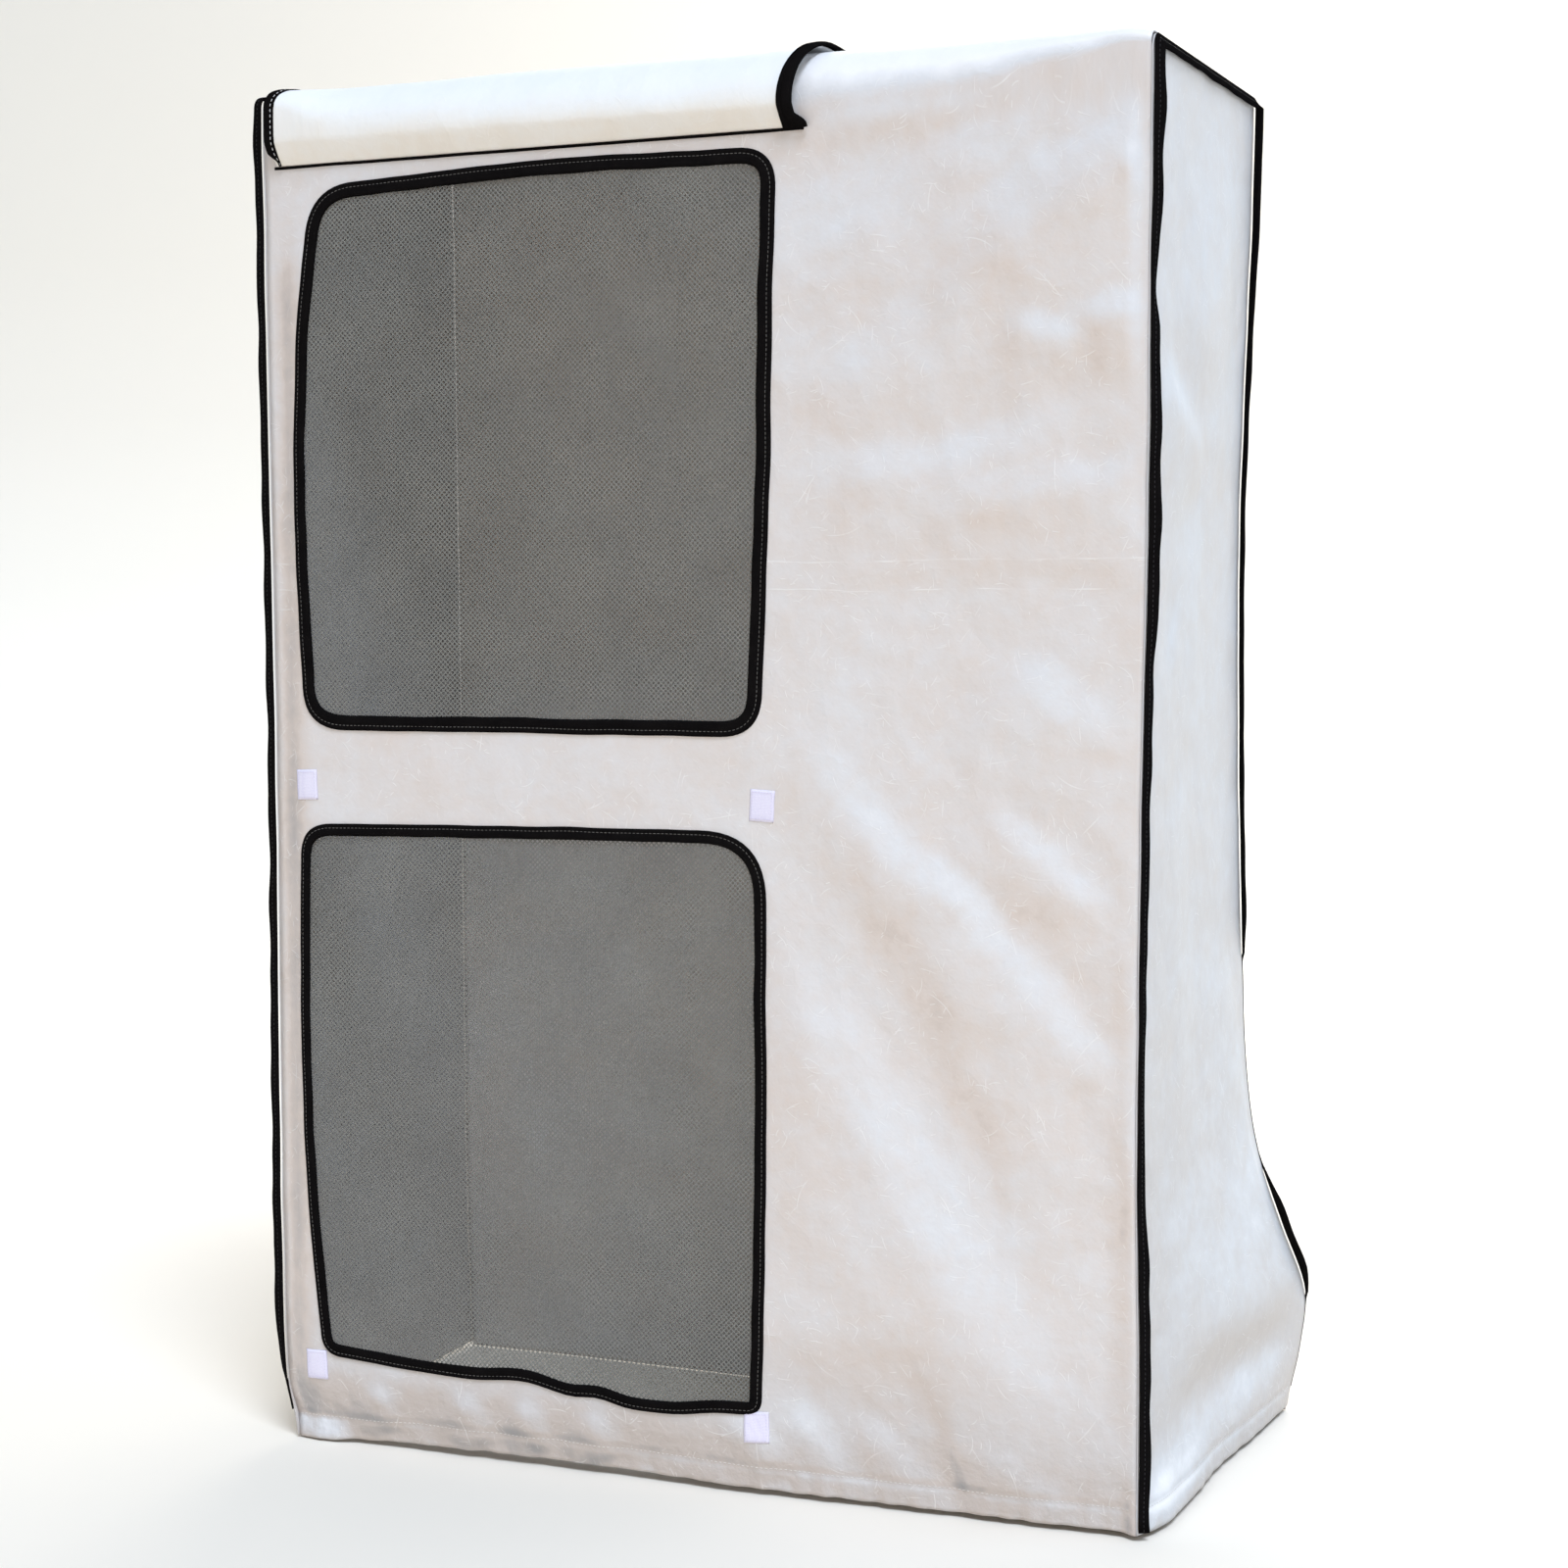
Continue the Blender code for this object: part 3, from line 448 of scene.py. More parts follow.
def spread(low, high, steps):
    """Even places from one value to another, both ends included."""
    return [low + (high - low) * step / steps for step in range(steps + 1)]


def on_front(x, z, lift):
    """A point a given height above the front cloth."""
    return Vector((x, FRONT - front_relief(x, z) - lift, z))


def finish_piece(name, mesh, material, replaced, thickness=None):
    """Make a modelled surface a piece of the cover that rides with it and stands for CAD nodes."""
    bmesh.ops.translate(mesh, vec=LAYOUT_SHIFT, verts=mesh.verts)
    data = bpy.data.meshes.new(name)
    mesh.to_mesh(data)
    mesh.free()
    data.shade_smooth()
    data.materials.append(material)
    piece = bpy.data.objects.new(name, data)
    bpy.context.scene.collection.objects.link(piece)
    if thickness:
        solid = piece.modifiers.new("thickness", "SOLIDIFY")
        solid.thickness = thickness
        solid.offset = -1.0
    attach(piece, "root")
    for node in replaced:
        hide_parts(node)
    return piece


# The outer edge of each window's tape as corners (x, z, rounding) from the top left clockwise, and
# how far its top, right, bottom and left side bow out.
WINDOW_TAPE = {"upper": 0.015, "lower": 0.0125}
WINDOWS = {
    "upper": (((-0.402, 1.260, 0.056), (0.103, 1.272, 0.042), (0.090, 0.721, 0.042),
               (-0.408, 0.720, 0.050)), (((0.0, 0.0), (0.5, 0.005), (1.0, 0.0)),
                                         ((0.0, 0.0), (0.5, 0.003), (1.0, 0.0)), ((0.0, 0.0), (1.0, 0.0)),
                                         ((0.0, 0.0), (0.25, 0.008), (0.5, 0.011), (0.75, 0.008),
                                          (1.0, 0.0)))),
    "lower": (((-0.413, 0.626, 0.038), (0.096, 0.633, 0.070), (0.090, 0.073, 0.018),
               (-0.392, 0.086, 0.024)), (((0.0, 0.0), (0.5, 0.001), (1.0, 0.0)),
                                         ((0.0, 0.0), (0.5, 0.003), (1.0, 0.0)),
                                         ((0.0, 0.0), (0.08, 0.003), (0.17, 0.009), (0.27, 0.010),
                                          (0.35, 0.004), (0.42, 0.006), (0.53, -0.001), (0.66, 0.003),
                                          (0.80, 0.003), (1.0, 0.0)), ((0.0, 0.0), (0.25, 0.008),
                                                                       (0.5, 0.010), (0.75, 0.007),
                                                                       (1.0, 0.0)))),
}


def window_outline(name, inset):
    """Closed outline of a window, as points a given way inside the outer edge of its tape."""
    corners, bows = WINDOWS[name]
    outline = []
    for index in range(4):
        here = Vector(corners[index][:2])
        after = Vector(corners[(index + 1) % 4][:2])
        before = Vector(corners[index - 1][:2])
        start = here + (before - here).normalized() * corners[index][2]
        end = here + (after - here).normalized() * corners[index][2]
        for step in range(13):
            t = step / 12
            outline.append(start * (1 - t) ** 2 + here * 2 * t * (1 - t) + end * t ** 2)
        far = after + (here - after).normalized() * corners[(index + 1) % 4][2]
        along = (far - end).normalized()
        outward = Vector((-along.y, along.x))
        for step in range(1, 42):
            t = step / 42
            uneven = 0.0012 * wander(t * 0.5, index, 31.0 if name == "upper" else 37.0, 0.06)
            bow = read_table(bows[index], t) + uneven * ease(t / 0.1) * ease((1 - t) / 0.1)
            outline.append(end.lerp(far, t) + outward * bow)
    inner = []
    for index, point in enumerate(outline):
        along = (outline[(index + 1) % len(outline)] - outline[index - 2]).normalized()
        inner.append(point + Vector((along.y, -along.x)) * inset)
    return inner


def inside_outline(x, z, outline):
    """Whether a point of the front lies inside a closed outline."""
    inside = False
    for index, point in enumerate(outline):
        last = outline[index - 1]
        if (point.y > z) != (last.y > z):
            if x < (last.x - point.x) * (z - point.y) / (last.y - point.y) + point.x:
                inside = not inside
    return inside


def nearest_on(outline, x, z):
    """The point of a closed outline that lies nearest to a place on the front."""
    place = Vector((x, z))
    best = None
    for index, point in enumerate(outline):
        last = outline[index - 1]
        run = point - last
        t = min(1.0, max(0.0, (place - last).dot(run) / run.length_squared))
        spot = last + run * t
        if best is None or (spot - place).length < (best - place).length:
            best = spot
    return best


def linear(hex_colour):
    """An sRGB hex colour as the linear colour that shaders take."""
    values = [int(hex_colour[at:at + 2], 16) / 255 for at in (1, 3, 5)]
    return [v / 12.92 if v <= 0.04045 else ((v + 0.055) / 1.055) ** 2.4 for v in values] + [1.0]


def feed(node, inputs):
    """Fill a node's sockets, each from a plain value, a socket, or the first live output of a node."""
    for name, value in inputs.items():
        if isinstance(value, bpy.types.Node):
            value = next(socket for socket in value.outputs if socket.enabled)
        if isinstance(value, bpy.types.NodeSocket):
            node.id_data.links.new(value, node.inputs[name])
        else:
            node.inputs[name].default_value = value


def add_node(tree, kind, settings=None, inputs=None):
    """Add one shader node: settings are its options, inputs what its sockets take."""
    made = tree.nodes.new("ShaderNode" + kind)
    for name, value in (settings or {}).items():
        setattr(made, name, value)
    feed(made, inputs or {})
    return made


def new_material(name, roughness, specular=0.5):
    """A material, its node tree and its Principled shader."""
    made = bpy.data.materials.new(name)
    made.use_nodes = True
    shader = made.node_tree.nodes["Principled BSDF"]
    feed(shader, {"Roughness": roughness, "Specular IOR Level": specular})
    return made, made.node_tree, shader


def short_marks(tree, cut, cell, length, width, seed):
    """Scattered short curved lines, one to a cell: 1 on a line, 0 between the lines."""
    moved = add_node(tree, "VectorMath", {"operation": "ADD"}, {0: cut, 1: (seed, seed * 0.37, 0.0)})
    cells = add_node(tree, "TexVoronoi", {"voronoi_dimensions": "2D"}, {"Vector": moved, "Scale": 1 / cell})
    pick = add_node(tree, "SeparateColor", None, {"Color": cells.outputs["Color"]})
    angle = add_node(tree, "Math", {"operation": "MULTIPLY"}, {0: pick.outputs["Red"], 1: 2 * math.pi})
    offset = add_node(tree, "VectorMath", {"operation": "SUBTRACT"},
                      {0: moved, 1: cells.outputs["Position"]})
    turned = add_node(tree, "VectorRotate", {"rotation_type": "Z_AXIS"}, {"Vector": offset, "Angle": angle})
    split = add_node(tree, "SeparateXYZ", None, {"Vector": turned})
    square = add_node(tree, "Math", {"operation": "MULTIPLY"},
                      {0: split.outputs["X"], 1: split.outputs["X"]})
    bend = add_node(tree, "MapRange", None, {"Value": pick.outputs["Green"], "To Min": -0.8 / length,
            "To Max": 0.8 / length})
    curve = add_node(tree, "Math", {"operation": "MULTIPLY_ADD"}, {0: square, 1: bend,
            2: split.outputs["Y"]})
    off = add_node(tree, "Math", {"operation": "ABSOLUTE"}, {0: curve})
    line = add_node(tree, "MapRange", {"interpolation_type": "SMOOTHSTEP"}, {"Value": off,
            "From Max": width, "To Min": 1.0, "To Max": 0.0})
    along = add_node(tree, "Math", {"operation": "ABSOLUTE"}, {0: split.outputs["X"]})
    size = add_node(tree, "MapRange", None, {"Value": pick.outputs["Blue"], "To Min": 0.25, "To Max": 1.0})
    share = add_node(tree, "Math", {"operation": "DIVIDE"}, {0: along, 1: size})
    ends = add_node(tree, "MapRange", {"interpolation_type": "SMOOTHSTEP"}, {"Value": share,
            "From Min": length * 0.25, "From Max": length * 0.5, "To Min": 1.0, "To Max": 0.0})
    return add_node(tree, "Math", {"operation": "MULTIPLY"}, {0: line, 1: ends})


def coated_cloth(name, shade_warm, light_cool, pale, strength, shade_grey, low_shade=(0.0, 0.3), creases_at=()):
    """Woven polyester with a pale weatherproof coating and a soft sheen, its colour painted with light and
    shade.
    It has a warm painted shade where it faces down, a cool painted light where it faces up, a near-white
    painted highlight where it faces straight up, and a grey painted shade where it faces left or down and
    towards the floor. All of this lies over a tone that varies at random in broad areas.

    Folding and handling have cracked the coating in short pale hair lines, 10 to 50 mm long, and in
    straight lines where the cloth lay folded in its pack. The weave of 0.4 mm is drawn at 2.4 mm.
    """
    made, tree, shader = new_material(name, 0.44, 0.45)
    cut = add_node(tree, "UVMap", {"uv_map": "cut"})
    broad = add_node(tree, "TexNoise", None, {"Vector": cut, "Scale": 9.0, "Detail": 5.0, "Roughness": 0.6})
    patch = add_node(tree, "MapRange", None, {"Value": broad, "From Min": 0.3, "From Max": 0.7,
            "To Min": -0.24, "To Max": 0.24})
    grain = add_node(tree, "TexNoise", None, {"Vector": cut, "Scale": 70.0, "Detail": 3.0})
    mottle = add_node(tree, "Math", {"operation": "MULTIPLY_ADD"}, {0: grain, 1: 0.5, 2: patch})
    # The attribute says how much painted light the cloth gets from the way it faces; a random mottle of
    # tone is added to it.
    painted_light_attribute = add_node(tree, "Attribute", {"attribute_name": "painted_light"})
    total = add_node(tree, "Math", {"operation": "ADD"}, {0: painted_light_attribute.outputs["Fac"], 1: mottle})
    share = add_node(tree, "Math", {"operation": "SUBTRACT"}, {0: total, 1: 0.25})
    # Painted shade and light: the warm colour where the cloth faces down, the cool colour where it faces
    # up.
    shade_to_light = add_node(tree, "Mix", {"data_type": "RGBA"}, {"Factor": share, "A": linear(shade_warm),
            "B": linear(light_cool)})
    # Painted highlight: near white where the cloth faces straight up.
    highlight_share = add_node(tree, "MapRange", None, {"Value": share, "From Min": 1.0, "From Max": 1.9})
    with_highlight = add_node(tree, "Mix", {"data_type": "RGBA"}, {"Factor": highlight_share, "A": shade_to_light,
            "B": linear("#FAFAFB")})
    height = add_node(tree, "SeparateXYZ", None, {"Vector": add_node(tree, "TexCoord").outputs["Object"]})
    # Painted shade near the floor: greyer towards the bottom, up to the given height, but not where the
    # cloth faces up.
    low = add_node(tree, "MapRange", {"interpolation_type": "SMOOTHSTEP"}, {"Value": height.outputs["Z"],
            "From Min": 0.0, "From Max": low_shade[1], "To Min": low_shade[0], "To Max": 0.0})
    # Painted shade: grey where the cloth faces left or down.
    facing_away_shade = add_node(tree, "MapRange", None, {"Value": share, "From Min": 0.1, "From Max": -0.9})
    spared_where_lit = add_node(tree, "MapRange", None, {"Value": share, "From Min": 0.5, "From Max": 1.4,
            "To Min": 1.0, "To Max": 0.0})
    shade_near_floor = add_node(tree, "Math", {"operation": "MULTIPLY"}, {0: low, 1: spared_where_lit})
    painted_shade = add_node(tree, "Math", {"operation": "MAXIMUM"}, {0: shade_near_floor, 1: facing_away_shade})
    # The grey painted shade is laid over the cloth colour.
    ground = add_node(tree, "Mix", {"data_type": "RGBA"}, {"Factor": painted_shade, "A": with_highlight,
            "B": linear(shade_grey)})
    marks = short_marks(tree, cut, 0.062, 0.050, 0.0010, 1.7)
    for cell, length, seed in ((0.024, 0.022, 6.1), (0.014, 0.010, 9.4), (0.033, 0.026, 3.3)):
        finer = short_marks(tree, cut, cell, length, 0.0008, seed)
        marks = add_node(tree, "Math", {"operation": "MAXIMUM"}, {0: marks, 1: finer})
    gate = add_node(tree, "TexNoise", None, {"Vector": cut, "Scale": 26.0, "Detail": 2.0})
    kept = add_node(tree, "MapRange", None, {"Value": gate, "From Min": 0.44, "From Max": 0.62,
            "To Min": 0.08, "To Max": 1.0})
    marks = add_node(tree, "Math", {"operation": "MULTIPLY"}, {0: marks, 1: kept})
    if creases_at:
        split = add_node(tree, "SeparateXYZ", None, {"Vector": cut})
        waver = add_node(tree, "TexNoise", {"noise_dimensions": "2D"},
                         {"Vector": cut, "Scale": 7.0, "Detail": 3.0})
        for socket, place, width in creases_at:
            bent = add_node(tree, "Math", {"operation": "MULTIPLY_ADD"}, {0: waver, 1: 0.012,
                    2: split.outputs[socket]})
            off = add_node(tree, "Math", {"operation": "SUBTRACT"}, {0: bent, 1: place + 0.006})
            near = add_node(tree, "Math", {"operation": "ABSOLUTE"}, {0: off})
            line = add_node(tree, "MapRange", {"interpolation_type": "SMOOTHSTEP"}, {"Value": near,
                    "From Max": width, "To Min": 1.0, "To Max": 0.0})
            worn = add_node(tree, "Math", {"operation": "MULTIPLY"}, {0: line, 1: kept})
            marks = add_node(tree, "Math", {"operation": "MAXIMUM"}, {0: marks, 1: worn})
    shown = add_node(tree, "Math", {"operation": "MULTIPLY"}, {0: marks, 1: strength})
    colour = add_node(tree, "Mix", {"data_type": "RGBA"}, {"Factor": shown, "A": ground, "B": linear(pale)})
    rough = add_node(tree, "MapRange", None, {"Value": broad, "To Min": 0.36, "To Max": 0.52})
    crumple = add_node(tree, "TexNoise", None,
                       {"Vector": cut, "Scale": 38.0, "Detail": 6.0, "Roughness": 0.55})
    hem = add_node(tree, "MapRange", {"interpolation_type": "SMOOTHSTEP"}, {"Value": height.outputs["Z"],
            "From Min": 0.01, "From Max": 0.12, "To Min": 5.0, "To Max": 1.0})
    crumpled = add_node(tree, "Math", {"operation": "MULTIPLY"}, {0: crumple, 1: hem})
    bent = add_node(tree, "VectorMath", {"operation": "SCALE"}, {0: broad.outputs["Color"], "Scale": 0.12})
    swung = add_node(tree, "VectorMath", {"operation": "ADD"}, {0: cut, 1: bent})
    facets = add_node(tree, "TexVoronoi", {"voronoi_dimensions": "2D"}, {"Vector": swung, "Scale": 15.0})
    weave = add_node(tree, "TexWave", {"wave_type": "BANDS", "bands_direction": "DIAGONAL"}, {"Vector": cut,
            "Scale": 1 / 0.0024 / math.pi})
    below = {}
    for relief, bump_strength, distance in ((facets, 0.5, 0.004), (crumpled, 0.5, 0.0018),
                                            (marks, 0.5, 0.0003),
                                            (weave.outputs["Fac"], 0.10, 0.0001)):
        bump = add_node(tree, "Bump", None, {"Strength": bump_strength, "Distance": distance,
                "Height": relief, **below})
        below = {"Normal": bump}
    feed(shader, {"Base Color": colour, "Roughness": rough, "Normal": bump})
    return made


rows = band_rows()
shares = spread(0.0, 0.60, 78)[:-1] + spread(0.60, 1.00, 85)
mesh, places = lattice(len(shares), len(rows))
for vert, (column, row) in places.items():
    vert.co = band_point(shares[column], *rows[row])
middle = [band_point(0.5, *row) for row in rows]
runs = running_lengths(middle)
# The pack creases: across or along the cloth, the place on it, and half their width.
pack_creases = []
for height, width in ((0.887, 0.0013), (0.860, 0.0011)):
    row = min(range(len(rows)), key=lambda index: abs(middle[index].z - height) + (middle[index].y > 0))
    pack_creases.append(("Y", runs[row] + height - middle[row].z, width))
pack_creases.append(("X", 0.532, 0.0009))
# The front's colours: a warm painted shade, a cool painted light, the pale of the cracked coating, and a
# grey painted shade on cloth facing left or down and over the lowest 0.21 m.
band_cloth = coated_cloth("coated_cloth_front", "#DBCEC5", "#E0E1E4", "#F7F6F5", 0.47, "#A3A2A4",
                          (0.36, 0.21),
                          pack_creases)
lay_out(mesh, places, [BAND_WIDTH * share for share in shares], runs)
band_flat = BAND_WIDTH * runs[-1]
for window_name in WINDOWS:
    opening = window_outline(window_name, WINDOW_TAPE[window_name] * 0.5)
    low_x = min(point.x for point in opening)
    high_x = max(point.x for point in opening)
    low_z = min(point.y for point in opening)
    high_z = max(point.y for point in opening)
    inner = set()
    for vert in mesh.verts:
        x, y, z = vert.co
        if y < FRONT + 0.02 and low_x < x < high_x and low_z < z < high_z and inside_outline(x, z, opening):
            inner.add(vert)
    cut_away = [face for face in mesh.faces if all(vert in inner for vert in face.verts)]
    band_flat -= sum(face.calc_area() for face in cut_away)
    bmesh.ops.delete(mesh, geom=cut_away, context="FACES")
    for vert in mesh.verts:
        if vert in inner and vert.is_boundary:
            spot = nearest_on(opening, vert.co.x, vert.co.z)
            vert.co = (spot.x, vert.co.y, spot.y)
face_forward(mesh)
note_painted_light(mesh)
band = finish_piece("band_cloth", mesh, band_cloth, ["main_band"], CLOTH)

# --- Side panels ---------------------------------------------------------------------------------
# Two end panels of the same cloth close the band. The right one is cut wider at its lower back, for
# the pipes of the unit, and its hem flares out there. Both hang with soft upright folds.
# Their folds are listed as the front's are, in (y, z, half width) points; an upright line goes down.
SIDE_FOLDS = {
    "right": (
        (((-170, 1080, 10), (-120, 1052, 18), (-50, 1020, 18), (30, 985, 10)), 0.24, 1),
        (((-130, 1115, 16), (-40, 1080, 28), (60, 1030, 18)), -0.12, -1),
        (((105, 1340, 20), (110, 1180, 30), (105, 1020, 32), (90, 880, 20)), 0.14, 1),
        (((-60, 870, 8), (-95, 815, 12), (-130, 770, 8)), -0.16, 1),
        (((20, 940, 16), (10, 820, 26), (30, 700, 20)), 0.10, 1),
        (((-30, 800, 20), (-30, 600, 32), (-20, 450, 32), (0, 300, 20)), 0.10, 1),
        (((40, 90, 16), (140, 108, 26), (240, 118, 26), (310, 110, 14)), -0.08, -1),
        (((120, 560, 16), (150, 420, 26), (220, 280, 26), (290, 160, 14)), 0.10, 1),
    ),
    "left": (
        (((20, 1250, 20), (40, 1000, 34), (10, 750, 20)), 0.12, 1),
        (((-90, 900, 20), (-70, 600, 34), (-100, 300, 20)), -0.12, 1),
        (((-140, 160, 14), (0, 120, 26), (150, 150, 14)), 0.16, 1),
    ),
}
HEM_FLARE = ((0.0, 0.0), (0.06, 0.009), (0.13, 0.013), (0.28, 0.009), (0.52, 0.002), (0.82, 0.002),
             (1.0, 0.0))
HEM_HOLLOW = ((0.0, 0.0), (0.15, 0.002), (0.35, 0.009), (0.60, 0.012), (0.85, 0.007), (1.0, 0.0))


def top_of_side(y):
    """Height of the cover's end outline at a depth: rounded at the front and at the back."""
    if y < FRONT + SEAM_ROUND:
        off = SEAM_ROUND - (y - FRONT)
        return HEIGHT - SEAM_ROUND + math.sqrt(max(0.0, SEAM_ROUND ** 2 - off ** 2))
    if y > REAR - REAR_ROUND:
        off = REAR_ROUND - (REAR - y)
        return HEIGHT - REAR_ROUND + math.sqrt(max(0.0, REAR_ROUND ** 2 - off ** 2))
    return HEIGHT


side_across = np.arange(-0.20, 0.33, MAP_STEP)
side_maps = {}
for side, folds in SIDE_FOLDS.items():
    side_maps[side] = np.zeros((len(front_up), len(side_across)))
    for fold in folds:
        add_fold(side_maps[side], side_across, front_up, *fold)
    side_maps[side] = blurred(side_maps[side], 4)


def side_relief(y, z, side):
    """How far a side panel's cloth stands out, away from its seams."""
    relief = read_map(side_maps[side], side_across, front_up, y, z)
    relief += 0.0020 * wander(y, z * 0.5, 41.0 if side == "right" else 47.0, 0.09)
    return relief + 0.0008 * wander(y, z, 43.0, 0.032)


def side_point(side, share, level):
    """A point of a side panel's outer surface, at a share of its depth and of its height."""
    z = level * HEIGHT
    y = 0.0
    for _ in range(3):
        front_x, front_y = seam_point(FRONT_SEAM, z, side)
        rear_x, rear_y = seam_point(REAR_SEAM, z, side)
        y = front_y + (rear_y - front_y) * share
        hem = read_table(HEM_LEVEL, front_x) * (1 - share)
        z = hem + level * (top_of_side(y) - hem)
    calm = ease(share / 0.08) * ease((1 - share) / 0.08) * ease((HEIGHT - z) / 0.08)
    relief = side_relief(y, z, side) * calm
    stitched = -0.0009 * math.exp(-((z - hem - HEM_TURN) / 0.0035) ** 2)
    ruffle = 0.0014 * wander(y, z * 0.4, 45.0, 0.018) * ease((0.034 - z + hem) / 0.03)
    relief += (stitched + ruffle) * ease(share / 0.05) * ease((1 - share) / 0.05)
    if side == "right":
        relief += read_table(HEM_FLARE, share) * ease((0.062 - z) / 0.062)
        relief -= read_table(HEM_HOLLOW, share) * math.exp(-((z - 0.085) / 0.038) ** 2)
    out = 1.0 if side == "right" else -1.0
    return Vector((front_x + (rear_x - front_x) * share + out * relief, y, z))


SIDE_COLUMNS = 61
side_levels = [0.0023 * step for step in range(14)] + [0.0322 + 0.0064 * step for step in range(151)]
side_levels = [level / side_levels[-1] for level in side_levels]
side_shares = [0.5 - 0.5 * math.cos(math.pi * step / (SIDE_COLUMNS - 1)) for step in range(SIDE_COLUMNS)]
side_shares = [(share + step / (SIDE_COLUMNS - 1) * 2) / 3 for step, share in enumerate(side_shares)]
# The sides' colours: a warm painted shade, a cool painted light, pale coating cracks, and a grey painted
# shade on cloth facing left or down that fades up over the lowest 1.2 m.
side_cloth = coated_cloth("coated_cloth_side", "#D2CDCA", "#DADEE3", "#F0F1F3", 0.42, "#B4ACA7",
                          (0.44, 1.20))
for side in ("right", "left"):
    mesh, places = lattice(SIDE_COLUMNS, len(side_levels))
    for vert, (column, row) in places.items():
        vert.co = side_point(side, side_shares[column], side_levels[row])
    lay_out(mesh, places, [2.0 + DEPTH * share for share in side_shares],
            [HEIGHT * level for level in side_levels])
    if side == "left":
        bmesh.ops.reverse_faces(mesh, faces=mesh.faces)
    note_painted_light(mesh)
    side_area = area_of(mesh)
    panel = finish_piece(side + "_side_cloth", mesh, side_cloth, ["side_panel_" + side], CLOTH)
    width = 0.50 if side == "right" else 0.40

# --- Net windows ---------------------------------------------------------------------------------
# Two panels of black polyester net let the air through. The net is knitted with diamond holes about
# 1 mm across, which are too fine to show here, so they are drawn 3.6 mm apart.
NET_PITCH = 0.0036


def black_net(name):
    """Black net of knitted polyester: open diamonds between matt threads with a faint gloss; the threads
    are painted mid grey, a painted sheen lighter than their own black.
    """
    made, tree, shader = new_material(name, 0.55, 0.4)
    cut = add_node(tree, "UVMap", {"uv_map": "cut"})
    split = add_node(tree, "SeparateXYZ", None, {"Vector": cut})
    turns = math.pi / NET_PITCH * math.sqrt(0.5)
    waves = []
    for operation in ("ADD", "SUBTRACT"):
        along = add_node(tree, "Math", {"operation": operation}, {0: split.outputs["X"],
                1: split.outputs["Y"]})
        phase = add_node(tree, "Math", {"operation": "MULTIPLY"}, {0: along, 1: turns})
        sine = add_node(tree, "Math", {"operation": "SINE"}, {0: phase})
        waves.append(add_node(tree, "Math", {"operation": "ABSOLUTE"}, {0: sine}))
    product = add_node(tree, "Math", {"operation": "MULTIPLY"}, {0: waves[0], 1: waves[1]})
    thread = add_node(tree, "MapRange", {"interpolation_type": "SMOOTHSTEP"}, {"Value": product,
            "From Min": 0.34, "From Max": 0.46, "To Min": 1.0, "To Max": 0.0})
    feed(shader, {"Alpha": thread})
    # Painted sheen: the black threads are given a mid grey with a random tone.
    tone = add_node(tree, "TexNoise", None, {"Vector": cut, "Scale": 14.0, "Detail": 3.0})
    colour = add_node(tree, "Mix", {"data_type": "RGBA"}, {"Factor": tone, "A": linear("#656663"),
            "B": linear("#85857F")})
    feed(shader, {"Base Color": colour})
    round_thread = add_node(tree, "Bump", None, {"Strength": 0.6, "Distance": 0.0004, "Height": thread})
    feed(shader, {"Normal": round_thread})
    return made


net = black_net("black_polyester_net")
NET_COLUMNS = 61
NET_ROWS = 67
for window_name in WINDOWS:
    edge = window_outline(window_name, WINDOW_TAPE[window_name] * 0.62)
    low = Vector((min(point.x for point in edge), min(point.y for point in edge)))
    high = Vector((max(point.x for point in edge), max(point.y for point in edge)))
    mesh, places = lattice(NET_COLUMNS, NET_ROWS)
    across = spread(low.x, high.x, NET_COLUMNS - 1)
    up = spread(low.y, high.y, NET_ROWS - 1)
    for vert, (column, row) in places.items():
        vert.co = (across[column], FRONT, up[row])
    lay_out(mesh, places, across, up)
    inner = {vert for vert in mesh.verts if inside_outline(vert.co.x, vert.co.z, edge)}
    outside = [face for face in mesh.faces if not any(vert in inner for vert in face.verts)]
    bmesh.ops.delete(mesh, geom=outside, context="FACES")
    cut_layer = mesh.loops.layers.uv["cut"]
    for vert in mesh.verts:
        if vert not in inner:
            spot = nearest_on(edge, vert.co.x, vert.co.z)
            vert.co = (spot.x, FRONT, spot.y)
            for loop in vert.link_loops:
                loop[cut_layer].uv = spot
        slack = 0.0016 * wander(vert.co.x, vert.co.z, 51.0, 0.11)
        vert.co.y = FRONT - front_relief(vert.co.x,
                                         vert.co.z) + 0.0006 - slack * ease((vert.co.z - low.y) / 0.1)
    face_forward(mesh)
    net_area = area_of(mesh)
    window = finish_piece("net_" + window_name, mesh, net, ["window_mesh_" + window_name])

# --- Tape round the windows ----------------------------------------------------------------------
# A black woven polyester tape, 13 to 15 mm wide, is folded over the cut edge of each window and sewn
# down with one row of stitches, nearer its outer edge. The needle has drawn a groove along the row.
WINDOW_STITCH_SHARE = 0.34
WINDOW_TAPE_THICK = 0.0022


def tape_profile(share, groove_at, thickness):
    """Height of a sewn tape above what it lies on, at a share of its width."""
    shoulder = math.sqrt(max(0.0, 1 - (2 * share - 1) ** 6))
    groove = 0.55 * math.exp(-((share - groove_at) / 0.075) ** 2)
    return thickness * shoulder * (1 - groove)


